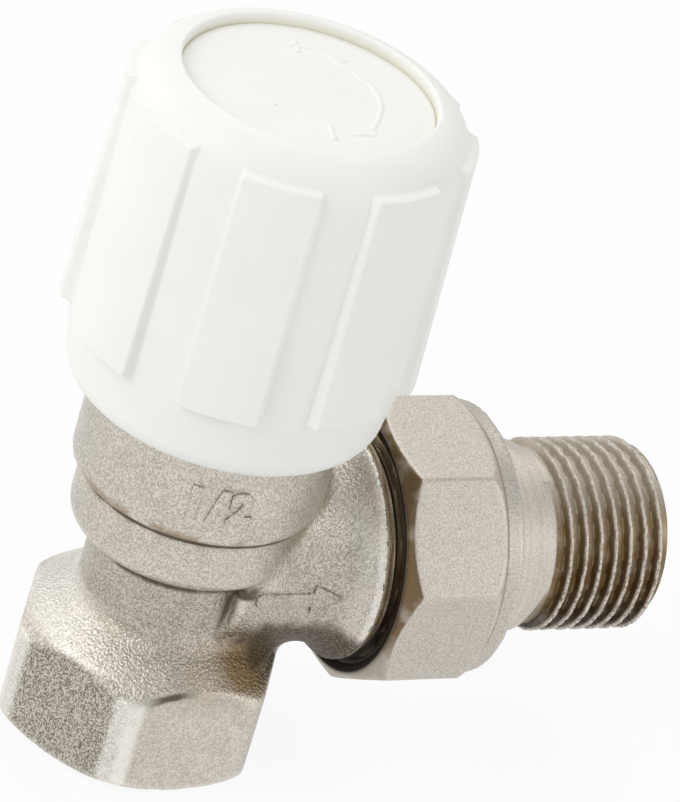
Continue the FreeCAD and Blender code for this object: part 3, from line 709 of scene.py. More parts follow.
@dataclass(frozen=True)
class CastPlating(Finish):
    """Nickel plating on a pebbled casting, brown in its hollows and pale on its edges, with painted shade
    below the horn, under the steps of the column and on the neck, and painted highlights on the foot's
    corners, the flare's rim and the shoulder.
    """

    light: Colour = (0.77, 0.725, 0.65)
    pit: Colour = (0.21, 0.182, 0.138)
    pale_metal: Colour = (0.95, 0.91, 0.84)
    dirt_and_shade: Colour = (0.085, 0.060, 0.032)
    ochre: Colour = (0.30, 0.19, 0.075)
    grain: float = 0.19
    grain_depth: float = 0.15
    coarse_grain: float = 1.9
    pebble_grain: float = 1.7
    cloud_size: float = 3.0
    patch_size: float = 6.0
    dull_flat: float = 210.0
    smooth_flat: float = 270.0
    flat_distance: float = 12.7
    flat_edge: float = 0.6
    flat_top: Span = (12.8, 12.0)
    corner_reach: float = 14.45
    corner_edge: float = 0.4
    corner_top: Span = (12.6, 11.4)
    corner_dull: Span = (3.0, 6.0)
    # Painted shadow lines under the band's lower edge and under the collar.
    crease_shadows: tuple[CreaseShadow, ...] = (CreaseShadow(23.4, 1.15, 12.0), CreaseShadow(30.75, 0.42, 13.0))
    rim_level: float = 31.6
    rim_width: Span = (0.9, 0.2)
    rim_side: Span = (9.0, 6.0)
    belly_height: float = 18.6
    belly_flare: float = 13.0
    belly_fall: float = 0.30
    belly_ragged: float = 3.0
    belly_edge: Span = (1.5, -0.9)
    belly_side: Span = (5.5, 7.5)
    above_foot: Span = (12.6, 13.6)
    beside_foot: Span = (13.2, 14.2)
    horn_side: Span = (6.0, 8.5)
    horn_top: Span = (30.0, 27.0)
    neck_top: Span = (24.5, 23.0)
    neck_foot: Span = (14.0, 16.5)
    shoulder_side: Span = (0.0, 6.0)
    shoulder_top: Span = (17.0, 15.0)
    shoulder_foot: Span = (11.0, 12.5)
    # Places of painted highlights: the rim of the horn's flare and the open side of the shoulder.
    flare_side: Span = (14.8, 17.6)
    flare_foot: Span = (14.0, 18.0)
    open_way: Point = (-0.85, 0.53)
    open_side: Span = (3.0, 8.5)
    open_top: Span = (18.0, 16.5)
    open_foot: Span = (11.8, 13.0)
    ochre_stain: Stain = Stain(6.8, -10.7, 13.6, 5.2)
    shoulder_stain: Stain = Stain(1.5, -12.8, 14.0, 5.0)
    throat_stain: Stain = Stain(5.2, -7.9, 15.6, 1.6)
    lip_stain: Stain = Stain(-3.4, -13.3, 12.4, 3.6)

    def paint(self, painter: Painter) -> None:
        """Fill the node tree."""
        place = painter.place()
        skin = CastSkin(
            spot=painter.split(place),
            fine=painter.noise(place, self.grain, rough=0.6),
            coarse=painter.noise(place, self.grain * self.coarse_grain, rough=0.6),
            pebble=painter.pebbles(place, self.grain * self.pebble_grain),
            cloud=painter.noise(place, self.cloud_size, 3.0),
            patch=painter.noise(place, self.patch_size, 4.0, 0.6),
            hollow=painter.mark("hollow"),
            edge=painter.mark("edge"),
        )
        dull, smooth = (self.on_flat(skin.spot, turn) for turn in (self.dull_flat, self.smooth_flat))
        belly = self.belly(skin)
        grime_and_shade = self.grime_and_shade(skin, belly)

        speckle = (0.7 * skin.fine + 0.3 * skin.coarse).ramp(0.60, 0.40)
        shade = (0.52 + 0.38 * dull - 0.15 * smooth) * speckle + 0.28 * (skin.cloud - 0.45)
        # Tarnished plating and painted shade darken the neck, the horn and the shoulder.
        shade = shade + 0.08 * dull + 0.10 * smooth + 0.20 * self.tarnish_and_shade(skin.spot)
        colour = painter.blend(shade.clamped(), self.light, self.pit)
        # Pale metal from wear on edges and from painted highlights on the foot's corners, the flare's rim and
        # the shoulder.
        colour = painter.blend(0.9 * self.wear_and_highlight(skin) * (1 - 0.25 * speckle), colour, self.pale_metal)
        colour = painter.blend(0.82 * self.tint(skin), colour, self.ochre)
        # Dark colour in hollows and stains, with painted shadow under the steps and painted shade under the
        # horn.
        colour = painter.blend(0.92 * grime_and_shade, colour, self.dirt_and_shade)

        grit = 0.80 + 0.60 * dull - 0.45 * smooth + 0.95 * belly
        height = grit * (0.7 * skin.fine + 0.5 * skin.coarse + 0.6 * (1 - skin.pebble)) + 0.35 * skin.cloud
        painter.surface(
            Base_Color=colour,
            Metallic=(1 - 0.7 * grime_and_shade).clamped(),
            Roughness=(0.31 + 0.12 * skin.fine + 0.20 * grime_and_shade + 0.08 * dull).clamped(),
            Specular_IOR_Level=0.25,
            Normal=painter.relief(height, self.grain_depth),
        )

    def on_flat(self, spot: Spot, turn: float) -> Term:
        """1 on the flat of the foot that looks towards an angle, in degrees."""
        x, y, z = spot
        angle = math.radians(turn)
        outward = x * math.cos(angle) + y * math.sin(angle)
        near = outward.ramp(self.flat_distance, self.flat_distance + self.flat_edge)
        return near * z.ramp(*self.flat_top)

    def belly(self, skin: CastSkin) -> Term:
        """1 on the underside of the horn, which falls towards its flare."""
        x, _, z = skin.spot
        rise = self.belly_height - self.belly_fall * (x - self.belly_flare).most(0.0)
        rise = rise + self.belly_ragged * (skin.cloud - 0.5)
        off_foot = z.ramp(*self.above_foot).most(x.ramp(*self.beside_foot))
        return (z - rise).ramp(*self.belly_edge) * x.ramp(*self.belly_side) * off_foot

    def tarnish_and_shade(self, spot: Spot) -> Term:
        """1 where the plating is painted darker, partly tarnished and partly as painted shade: on the neck,
        on the horn and on the shoulder below it.
        """
        x, _, z = spot
        horn = x.ramp(*self.horn_side) * z.ramp(*self.horn_top)
        neck = z.ramp(*self.neck_top) * z.ramp(*self.neck_foot)
        shoulder = x.ramp(*self.shoulder_side) * z.ramp(*self.shoulder_top) * z.ramp(*self.shoulder_foot)
        return horn.most(neck).most(1.7 * shoulder)

    def wear_and_highlight(self, skin: CastSkin) -> Term:
        """Share of pale metal: wear on edges, painted highlight and wear on the foot's corners, and painted
        highlights on the flare's rim and the shoulder.
        """
        x, y, z = skin.spot
        reach = (self.corner_reach**2, (self.corner_reach + self.corner_edge) ** 2)
        corner = (x * x + y * y).ramp(*reach) * z.ramp(*self.corner_top)
        corner = corner * (1 - 0.9 * x.ramp(*self.corner_dull))
        wear_and_highlight = (0.45 * skin.edge.ramp(0.20, 0.70) + corner) * skin.cloud.ramp(0.15, 0.50)
        return (wear_and_highlight + self.painted_highlight(skin.spot)).clamped()

    def painted_highlight(self, spot: Spot) -> Term:
        """Share of painted highlight on the rim of the horn's flare and on the open side of the shoulder."""
        x, y, z = spot
        flare = x.ramp(*self.flare_side) * z.ramp(*self.flare_foot)
        opened = (self.open_way[1] * y + self.open_way[0] * x).ramp(*self.open_side)
        return 0.40 * flare + 0.65 * (opened * z.ramp(*self.open_foot) * z.ramp(*self.open_top))

    def tint(self, skin: CastSkin) -> Term:
        """Share of ochre in hollows, along the collar's rim and in the stains below the horn."""
        x, _, z = skin.spot
        rim = (z - self.rim_level).magnitude().ramp(*self.rim_width) * x.ramp(*self.rim_side)
        tint = (0.25 * skin.hollow.ramp(0.05, 0.3) + 0.8 * rim) * skin.patch.ramp(0.42, 0.56)
        tint = tint + self.ochre_stain.share(skin.spot, skin.patch)
        return (tint + 0.35 * self.shoulder_stain.share(skin.spot, skin.patch)).clamped()

    def grime_and_shade(self, skin: CastSkin, belly: Term) -> Term:
        """Share of dark colour: in hollows and stains, as painted shadow under the steps of the column, and
        as painted shade with dirty scale on the underside of the horn.

        Args:
            skin: patterns of the finish.
            belly: 1 on the underside of the horn.

        Returns:
            A value from 0 to 1.
        """
        cloud = skin.cloud
        grime_and_shade = skin.hollow.ramp(0.22, 0.75) * cloud.ramp(0.22, 0.5)
        grime_and_shade = grime_and_shade + self.throat_stain.share(skin.spot, cloud)
        # Painted shadow under the steps of the column.
        for crease in self.crease_shadows:
            grime_and_shade = grime_and_shade + crease.share(skin.spot) * (0.45 + 0.55 * cloud.ramp(0.3, 0.55))
        grime_and_shade = grime_and_shade + self.lip_stain.share(skin.spot, cloud) * skin.edge.ramp(0.25, 0.50)
        # The underside of the horn is painted dark as shade, with dirty scale.
        return (grime_and_shade + belly * (0.74 + 0.26 * skin.pebble.ramp(0.25, 0.60))).clamped()


@dataclass(frozen=True)
class SatinPlating(Finish):
    """Nickel plating with a fine even grain; the side at the horn has a face painted near black as shadow
    with dirty deposit, and a brown chamfer.
    """

    light: Colour = (0.685, 0.645, 0.58)
    shade: Colour = (0.43, 0.395, 0.34)
    pale_metal: Colour = (0.80, 0.76, 0.70)
    film: Colour = (0.21, 0.145, 0.080)
    dirt_and_shade: Colour = (0.014, 0.009, 0.005)
    grain: float = 0.20
    grain_depth: float = 0.026
    cloud_size: float = 2.6
    speck_size: float = 0.36
    face: float = 19.7
    face_depth: Span = (0.5, 0.3)
    face_radius: float = 14.53
    chamfer_length: float = 1.46
    chamfer_skin: Span = (-0.40, -0.12)
    chamfer_fade: float = 0.3
    film_height: Span = (-8.0, -1.0)
    corner_radius: float = 16.34
    collar_start: float = 31.5
    seam_width: Span = (0.20, 0.05)

    def paint(self, painter: Painter) -> None:
        """Fill the node tree."""
        place = painter.place()
        x, y, z = painter.split(place)
        fine = painter.noise(place, self.grain, rough=0.6)
        cloud = painter.noise(place, self.cloud_size, 3.0)
        speck = painter.noise(place, self.speck_size, 1.0).ramp(0.68, 0.76)
        up = z - AXIS_HEIGHT
        slope = (self.corner_radius - self.face_radius) / self.chamfer_length
        cone = distance(y, up) - slope * (x - self.face) - self.face_radius
        chamfer_end = self.face + self.chamfer_length
        chamfer = cone.ramp(*self.chamfer_skin) * x.ramp(chamfer_end + self.chamfer_fade, chamfer_end)
        film = chamfer * (0.55 + 0.45 * cloud.ramp(0.30, 0.55)) * (0.30 + 0.70 * up.ramp(*self.film_height))
        # The face towards the horn is painted near black, as shadow with dirty deposit.
        grime_and_shade = (x - self.face).ramp(*self.face_depth) * (1 - chamfer)
        seam = (x - self.collar_start).magnitude().ramp(*self.seam_width)
        colour = painter.blend(0.7 * fine.ramp(0.64, 0.36), self.light, self.shade)
        colour = painter.blend(0.35 * speck, colour, self.dirt_and_shade)
        colour = painter.blend(0.25 * painter.mark("edge").ramp(0.15, 0.7), colour, self.pale_metal)
        colour = painter.blend(film.most(0.5 * seam), colour, self.film)
        colour = painter.blend(0.97 * grime_and_shade, colour, self.dirt_and_shade)
        painter.surface(
            Base_Color=colour,
            Metallic=(1 - 0.9 * grime_and_shade).clamped(),
            Roughness=(0.46 + 0.10 * fine + 0.15 * grime_and_shade).clamped(),
            Specular_IOR_Level=0.05,
            Normal=painter.relief(fine, self.grain_depth),
        )


@dataclass(frozen=True)
class TurnedPlating(Finish):
    """Matt nickel plating on a turned piece, with a brown film below a given radius, painted paler on top as
    light and near black underneath as shade, and a ring that can be painted black as shadow with dirty
    deposit.
    """

    light: Colour = (0.74, 0.695, 0.63)
    shade: Colour = (0.60, 0.555, 0.49)
    lit_film: Colour = (0.34, 0.25, 0.14)
    film: Colour = (0.185, 0.115, 0.045)
    shaded_film: Colour = (0.036, 0.021, 0.009)
    gap_shadow_and_dirt: Colour = (0.012, 0.008, 0.005)
    grain: float = 0.22
    grain_depth: float = 0.016
    ring: float = 0.5
    cloud_size: float = 1.8
    crest: float = 10.48
    crest_edge: float = 0.04
    root: float = 10.05
    clean_core: float = 9.05
    core_edge: float = 0.2
    film_from: float = 0.0
    film_edge: float = 0.3
    film_top_fade: Span = (6.0, 9.5)
    film_light_from: Span = (0.5, 7.0)
    film_shade_from: Span = (0.0, -8.0)
    worn_crest: float = 0.0
    bead_size: float = 0.45
    bead_start: float = 1.0
    bead_thins: Span = (2.0, 9.0)
    gap_from: float = 0.0
    gap_to: float = 0.0
    gap_edges: Span = (0.15, 0.2)

    def paint(self, painter: Painter) -> None:
        """Fill the node tree."""
        place = painter.place()
        x, y, z = painter.split(place)
        up = z - AXIS_HEIGHT
        radius = distance(y, up)
        rings = painter.noise(painter.joined(x / self.ring, radius / self.ring), 1.0, 1.0)
        fine = painter.noise(place, self.grain, rough=0.6)
        cloud = painter.noise(place, self.cloud_size, 3.0)
        colour = painter.blend((0.3 * rings + 0.7 * fine).ramp(0.62, 0.38), self.light, self.shade)
        outside = radius.ramp(self.clean_core, self.clean_core + self.core_edge)
        low = radius.ramp(self.crest - self.crest_edge, self.root)
        low = low * x.ramp(self.film_from, self.film_from + self.film_edge) * outside
        # The film fades out on top: painted light.
        film = low * (0.80 + 0.20 * cloud.ramp(0.3, 0.6)) * (1 - 0.75 * up.ramp(*self.film_top_fade))
        bead_from = self.film_from + self.bead_start
        beads = painter.noise(place, self.bead_size, 1.0).ramp(0.50, 0.58)
        beads = beads * x.ramp(bead_from, bead_from + self.film_edge)
        beads = beads * outside * (1 - 0.6 * up.ramp(*self.bead_thins))
        film = film.most(0.5 * self.worn_crest * beads).clamped()
        # Painted light and shade: the film is paler on top and near black underneath.
        brown = painter.blend(up.ramp(*self.film_shade_from), self.film, self.shaded_film)
        brown = painter.blend(up.ramp(*self.film_light_from), brown, self.lit_film)
        colour = painter.blend(film, colour, brown)
        # The ring in the gap before the nut is painted black as shadow, with dirty deposit.
        gap = x.ramp(self.gap_from, self.gap_from + self.gap_edges[0])
        gap = gap * x.ramp(self.gap_to + self.gap_edges[1], self.gap_to)
        colour = painter.blend(gap, colour, self.gap_shadow_and_dirt)
        painter.surface(
            Base_Color=colour,
            Metallic=(1 - 0.15 * film - 0.85 * gap).clamped(),
            Roughness=(0.52 + 0.08 * fine - 0.12 * film).clamped(),
            Specular_IOR_Level=0.2,
            Normal=painter.relief(0.25 * rings + 0.75 * fine, self.grain_depth),
        )


@dataclass(frozen=True)
class MouldedPlastic(Finish):
    """Satin moulded plastic with a faint skin texture, yellowed along the wall of its recess."""

    base: Colour = (0.90, 0.90, 0.868)
    shade: Colour = (0.885, 0.885, 0.848)
    aged: Colour = (0.70, 0.66, 0.50)
    recess_radius: float = 13.2
    recess_floor: float = 77.8
    recess_rim: float = 78.9
    floor_edge: float = 0.3
    wall_inside: Span = (-0.5, 0.0)
    wall_outside: Span = (0.3, 0.1)
    skin: float = 0.15
    skin_depth: float = 0.003
    flow_size: float = 9.0

    def paint(self, painter: Painter) -> None:
        """Fill the node tree."""
        place = painter.place()
        x, y, z = painter.split(place)
        fine = painter.noise(place, self.skin)
        flow = painter.noise(place, self.flow_size)
        colour = painter.blend(flow.ramp(0.35, 0.7), self.base, self.shade)
        square = x * x + y * y
        wall = z.ramp(self.recess_floor - self.floor_edge, self.recess_floor)
        wall = wall * z.ramp(self.recess_rim, self.recess_floor)
        for span in (self.wall_inside, self.wall_outside):
            wall = wall * square.ramp(*((self.recess_radius + offset) ** 2 for offset in span))
        colour = painter.blend(0.55 * wall, colour, self.aged)
        painter.surface(
            Base_Color=colour,
            Roughness=(0.46 + 0.06 * flow + 0.04 * fine).clamped(),
            Normal=painter.relief(fine, self.skin_depth),
        )


@dataclass(frozen=True)
class BareMetal(Finish):
    """Turned metal without plating."""

    base: Colour = (0.72, 0.53, 0.25)
    shade: Colour = (0.50, 0.35, 0.15)
    rough: float = 0.34
    grain: float = 0.25
    grain_depth: float = 0.012
    cloud_size: float = 2.5

    def paint(self, painter: Painter) -> None:
        """Fill the node tree."""
        place = painter.place()
        fine = painter.noise(place, self.grain)
        cloud = painter.noise(place, self.cloud_size, 3.0)
        painter.surface(
            Base_Color=painter.blend((0.5 * fine + 0.5 * cloud).ramp(0.4, 0.65), self.base, self.shade),
            Metallic=1.0,
            Roughness=(self.rough + 0.15 * cloud).clamped(),
            Normal=painter.relief(fine, self.grain_depth),
        )


@dataclass(frozen=True)
class SealStock(Finish):
    """Rubber or pressed fibre."""

    base: Colour = (0.030, 0.030, 0.032)
    shade: Colour = (0.055, 0.053, 0.050)
    grain: float = 0.2
    grain_depth: float = 0.02

    def paint(self, painter: Painter) -> None:
        """Fill the node tree."""
        fine = painter.noise(painter.place(), self.grain, 3.0)
        painter.surface(
            Base_Color=painter.blend(fine.ramp(0.35, 0.7), self.base, self.shade),
            Roughness=(0.55 + 0.2 * fine).clamped(),
            Normal=painter.relief(fine, self.grain_depth),
        )


CASTING = CastPlating("cast_nickel", "plated_casting")
NUT_PLATING = SatinPlating("satin_nickel", "plated_nut")
TAIL_PLATING = TurnedPlating("turned_nickel", "plated_tail", film_from=39.7, worn_crest=1.0)
SPIGOT_PLATING = TurnedPlating("stained_spigot", "plated_casting", light=(0.56, 0.47, 0.35),
                               shade=(0.36, 0.29, 0.20), film=(0.12, 0.085, 0.048),
                               shaded_film=(0.07, 0.047, 0.026), crest=13.4, root=12.8,
                               film_from=19.6, gap_from=19.05, gap_to=19.75)
WHITE_PLASTIC = MouldedPlastic("moulded_white", "white_plastic")
BRASS = BareMetal("turned_brass", "bare_brass")
STEEL = BareMetal("zinc_steel", "screw_steel", base=(0.62, 0.62, 0.62), shade=(0.42, 0.42, 0.43))
RUBBER = SealStock("black_rubber", "seal_rubber")
FIBRE = SealStock("brown_fibre", "gasket_fibre", base=(0.22, 0.10, 0.06), shade=(0.32, 0.17, 0.10))


@dataclass(frozen=True)
class Thread:
    """Right-hand thread that is cut into a turned mesh along the outlet or the spindle axis."""

    start: float
    end: float
    pitch: float
    crest: float
    depth: float
    axis: Axis
    runout: float
    inside: bool = False
    nick: float = 0.0
    flank: Span = (0.14, 0.48)
    chip_flank: Span = (0.14, 0.40)
    chip_share: Span = (0.50, 0.58)
    chip_size: float = 0.6
    wall: float = 1.6
    slack: float = 0.05

    def cut(self, mesh: bpy.types.Mesh, finish: Finish) -> bpy.types.Mesh:
        """Cut the thread.

        Args:
            mesh: turned mesh with rows close enough for the thread's flanks.
            finish: look of the result.

        Returns:
            The threaded mesh.
        """
        sizes = {"Start": self.start, "End": self.end, "Pitch": self.pitch, "Crest": self.crest,
                 "Depth": self.depth, "Height": AXIS_HEIGHT, "Nick": self.nick, "Runout": self.runout}
        tree = Shaping(f"thread_{self.axis.value}", {name: size * MM for name, size in sizes.items()})
        start, end, pitch, crest, depth, height, nick, runout = tree.sizes
        along_outlet = self.axis is Axis.OUTLET
        x, y, z = tree.spot()
        along, one, two = (x, y, z - height) if along_outlet else (z, x, y)
        radius = distance(one, two)
        angle = one.calc("ARCTAN2", two, one)
        turns = (along - start) / pitch - angle / (2 * math.pi)
        wave = 2 * turns.calc("PINGPONG", turns, 0.5)
        spread = tree.joined(one / (self.chip_size * MM), two / (self.chip_size * MM), turns)
        chance = tree.node("ShaderNodeTexNoise", {"noise_dimensions": "4D"},
                           {"Vector": spread, "W": SEED, "Scale": 1.0, "Detail": 1.0}, "Fac")
        chips = chance.ramp(*self.chip_share) * (1 - wave.ramp(*self.chip_flank))
        fade = along.ramp(start, start + runout) * (1 - along.ramp(end, end + pitch))
        cut = fade * (depth * wave.ramp(*self.flank) + nick * chips)
        if self.inside:
            wall = radius.calc("LESS_THAN", radius, crest + self.slack * MM)
            target = radius + wall * cut
        else:
            wall = radius.calc("GREATER_THAN", radius, crest - self.wall * MM)
            target = radius + wall * ((crest - cut).least(radius) - radius)
        scale = target / radius.most(TINY)
        one, two = one * scale, two * scale
        spot = (x, one, two + height) if along_outlet else (one, two, z)
        return tree.shape(mesh, tree.moved(tree.geometry, *spot), finish)


@dataclass
class CastBody:
    """Cast body with its foot, column, horn, inlet thread, spigot thread, flow arrow and size mark."""

    voxel: float = 0.36
    soft_passes: int = 7
    wear_reach: int = 24
    wear_scale: float = 0.30
    relief: float = 0.25
    inlet_crest: float = 9.315
    inlet_band: Span = (-0.5, 0.45)
    inlet_depth: float = 12.5
    inlet_floor: float = 0.4
    inlet_ends: Span = (0.06, 0.1)
    inlet_chamfer: float = 0.9
    inlet_row: float = 0.13
    inlet_columns: int = 160
    inlet_thread_depth: float = 1.10
    inlet_pitch: float = 1.814
    inlet_lead: float = 1.0
    inlet_tail: float = 1.5
    inlet_runout: float = 0.4
    horn_radius: float = 10.7
    horn_end: float = 18.2
    spigot_radius: float = 12.75
    spigot_gap: float = 0.15
    spigot_wall: float = 1.0
    spigot_end: float = 26.4
    spigot_ends: Span = (0.02, 0.05)
    spigot_chamfer: float = 0.8
    spigot_row: float = 0.11
    spigot_columns: int = 200
    spigot_pitch: float = 1.5
    spigot_depth: float = 0.85
    spigot_lead: float = 0.3
    spigot_runout: float = 0.6
    fillet_side: Span = (3.0, 5.5)
    fillet_stop: float = 1.0
    fillet_reach: int = 40
    fillet_hollow: float = 0.12
    fillet_fade: int = 6
    fillet_passes: int = 60
    arrow_rise: float = 0.30
    arrow_sink: float = 0.5
    arrow_tail: float = 4.9
    arrow_neck: float = 11.4
    arrow_tip: float = 15.2
    arrow_shaft: float = 0.75
    arrow_head: float = 1.75
    arrow_round: float = 0.6
    arrow_underside: Span = (-0.3, 0.3)
    arrow_foot_shadow: Span = (0.65, 0.35)
    size_text: str = "1/2"
    size_turn: float = -106.0
    size_level: float = 34.2
    size_height: float = 4.0
    size_rise: float = 0.36
    size_hollow: float = 0.4
    collar_radius: float = 13.4

    def build(self) -> None:
        """Make and place every piece of the casting."""
        place_piece("cast_body", self.casting(), Body.VALVE, CASTING, ["valve_body"], 80.0)
        place_piece("inlet_thread", self.inlet_thread(), Body.VALVE, BRASS)
        place_piece("spigot_thread", self.spigot_thread(), Body.VALVE, SPIGOT_PLATING)
        place_piece("flow_arrow", self.flow_arrow(), Body.VALVE, CASTING, crease=60.0)
        place_piece("size_mark", self.size_mark(), Body.VALVE, CASTING, crease=75.0)

    def casting(self) -> bpy.types.Mesh:
        """Even copy of the solid with filled corners and room for both thread sleeves."""
        mesh = blended_copy("valve_body", self.voxel, self.soft_passes)
        self.fill_corners(mesh)
        spots = coordinates(mesh) / MM
        radius = np.hypot(spots[:, 0], spots[:, 1])
        low, high = (self.inlet_crest + offset for offset in self.inlet_band)
        bore = (radius < high) & (radius > low) & (spots[:, 2] < self.inlet_depth - self.inlet_floor)
        room = self.inlet_crest + self.inlet_thread_depth + self.relief
        spots[bore, :2] *= (room / radius[bore])[:, None]
        rise = spots[:, 2] - AXIS_HEIGHT
        across = np.hypot(spots[:, 1], rise)
        past_horn = spots[:, 0] > self.horn_end + self.spigot_gap
        spigot = past_horn & (across > self.spigot_radius - self.spigot_wall)
        room = (self.spigot_radius - self.spigot_depth - self.relief) / across[spigot]
        spots[spigot, 1] *= room
        spots[spigot, 2] = AXIS_HEIGHT + rise[spigot] * room
        set_coordinates(mesh, spots * MM)
        store_wear(mesh, self.wear_reach, self.wear_scale)
        return mesh

    def fill_corners(self, mesh: bpy.types.Mesh) -> None:
        """Round out the hollow corners between the column and the horn, as a casting has them."""
        spots = coordinates(mesh)
        near = np.interp(spots[:, 0] / MM, self.fillet_side, (0.0, 1.0))
        near[spots[:, 0] / MM > self.horn_end - self.fillet_stop] = 0.0
        hollow = np.clip(departure(mesh, self.fillet_reach) / self.fillet_hollow, 0.0, 1.0) * near
        neighbours = Neighbours(mesh)
        share = neighbours.relaxed(hollow[:, None], self.fillet_fade)
        set_coordinates(mesh, neighbours.relaxed(spots, self.fillet_passes, share))

    def inlet_thread(self) -> bpy.types.Mesh:
        """Threaded wall of the inlet."""
        outer = self.inlet_crest + self.inlet_thread_depth + 2 * self.relief
        low, high = self.inlet_ends[0], self.inlet_depth - self.inlet_ends[1]
        outline = sleeve(outer, self.inlet_crest, high, low, self.inlet_chamfer, self.inlet_row)
        mesh = revolve("inlet_thread", outline, even_angles(self.inlet_columns), Axis.SPINDLE)
        thread = Thread(-self.inlet_lead, self.inlet_depth - self.inlet_tail, self.inlet_pitch,
                        self.inlet_crest, self.inlet_thread_depth, Axis.SPINDLE, self.inlet_runout,
                        inside=True)
        return thread.cut(mesh, BRASS)

    def spigot_thread(self) -> bpy.types.Mesh:
        """Threaded wall of the spigot under the union nut."""
        root = self.spigot_radius - self.spigot_depth - 2 * self.relief
        start, end = self.horn_end + self.spigot_ends[0], self.spigot_end - self.spigot_ends[1]
        outline = sleeve(root, self.spigot_radius, start, end, self.spigot_chamfer, self.spigot_row)
        mesh = revolve("spigot_thread", outline, even_angles(self.spigot_columns), Axis.OUTLET)
        thread = Thread(self.horn_end + self.spigot_lead, self.spigot_end, self.spigot_pitch,
                        self.spigot_radius, self.spigot_depth, Axis.OUTLET, self.spigot_runout)
        return thread.cut(mesh, SPIGOT_PLATING)

    def flow_arrow(self) -> bpy.types.Mesh:
        """Raised arrow that lies on the front of the horn and shows the flow."""
        tail, neck, tip = self.arrow_tail, self.arrow_neck, self.arrow_tip
        shaft, head, rise = self.arrow_shaft, self.arrow_head, self.arrow_rise
        corners = [(tail, -shaft), (neck, -shaft), (neck, -head), (tip, 0.0), (neck, head), (neck, shaft),
                   (tail, shaft)]
        outline = np.array(round_corners(corners, self.arrow_round))
        middle = outline.mean(axis=0)
        rings = []
        for share, lift in ((1.15, -self.arrow_sink), (1.08, 0.3 * rise), (0.92, 0.8 * rise), (0.72, rise)):
            along, up = ((outline - middle) * (0.9 + 0.1 * share, share) + middle).T
            angle, radius = up / self.horn_radius, self.horn_radius + lift
            across, level = radius * np.cos(angle), AXIS_HEIGHT + radius * np.sin(angle)
            rings.append(np.stack([along, -across, level], axis=1))
        mesh = ring_mesh("flow_arrow", np.array(rings) * MM, False)
        spots = coordinates(mesh) / MM
        drop = spots[:, 2] - AXIS_HEIGHT
        height = (np.hypot(spots[:, 1], drop) - self.horn_radius) / rise
        # The foot is darker on the arrow's underside: painted shadow below the arrow.
        store_foot(mesh, height, np.interp(drop, self.arrow_underside, self.arrow_foot_shadow))
        return mesh

    def size_mark(self) -> bpy.types.Mesh:
        """Pipe size in soft raised figures, wrapped round the front of the collar."""
        figures = bpy.data.curves.new("size_mark", "FONT")
        figures.body = self.size_text
        figures.space_character = 1.25
        figures.extrude = 0.02
        figures.offset = 0.02
        figures.bevel_depth = 0.05
        figures.bevel_resolution = 2
        mesh = plain_mesh("size_mark", figures)
        spots = coordinates(mesh)
        low, high = spots.min(axis=0), spots.max(axis=0)
        scale = self.size_height / (high[1] - low[1])
        along = (spots[:, 0] - (low[0] + high[0]) / 2) * scale
        turn = math.radians(self.size_turn) + along / self.collar_radius
        lift = np.interp(spots[:, 2], [low[2], high[2]], [-self.size_rise, self.size_rise])
        radius = self.collar_radius + lift
        level = self.size_level + (spots[:, 1] - low[1]) * scale
        set_coordinates(mesh, np.stack([radius * np.cos(turn), radius * np.sin(turn), level], axis=1) * MM)
        closed(mesh)
        spots = coordinates(mesh) / MM
        height = (np.hypot(spots[:, 0], spots[:, 1]) - self.collar_radius) / self.size_rise
        store_foot(mesh, height, self.size_hollow)
        return mesh


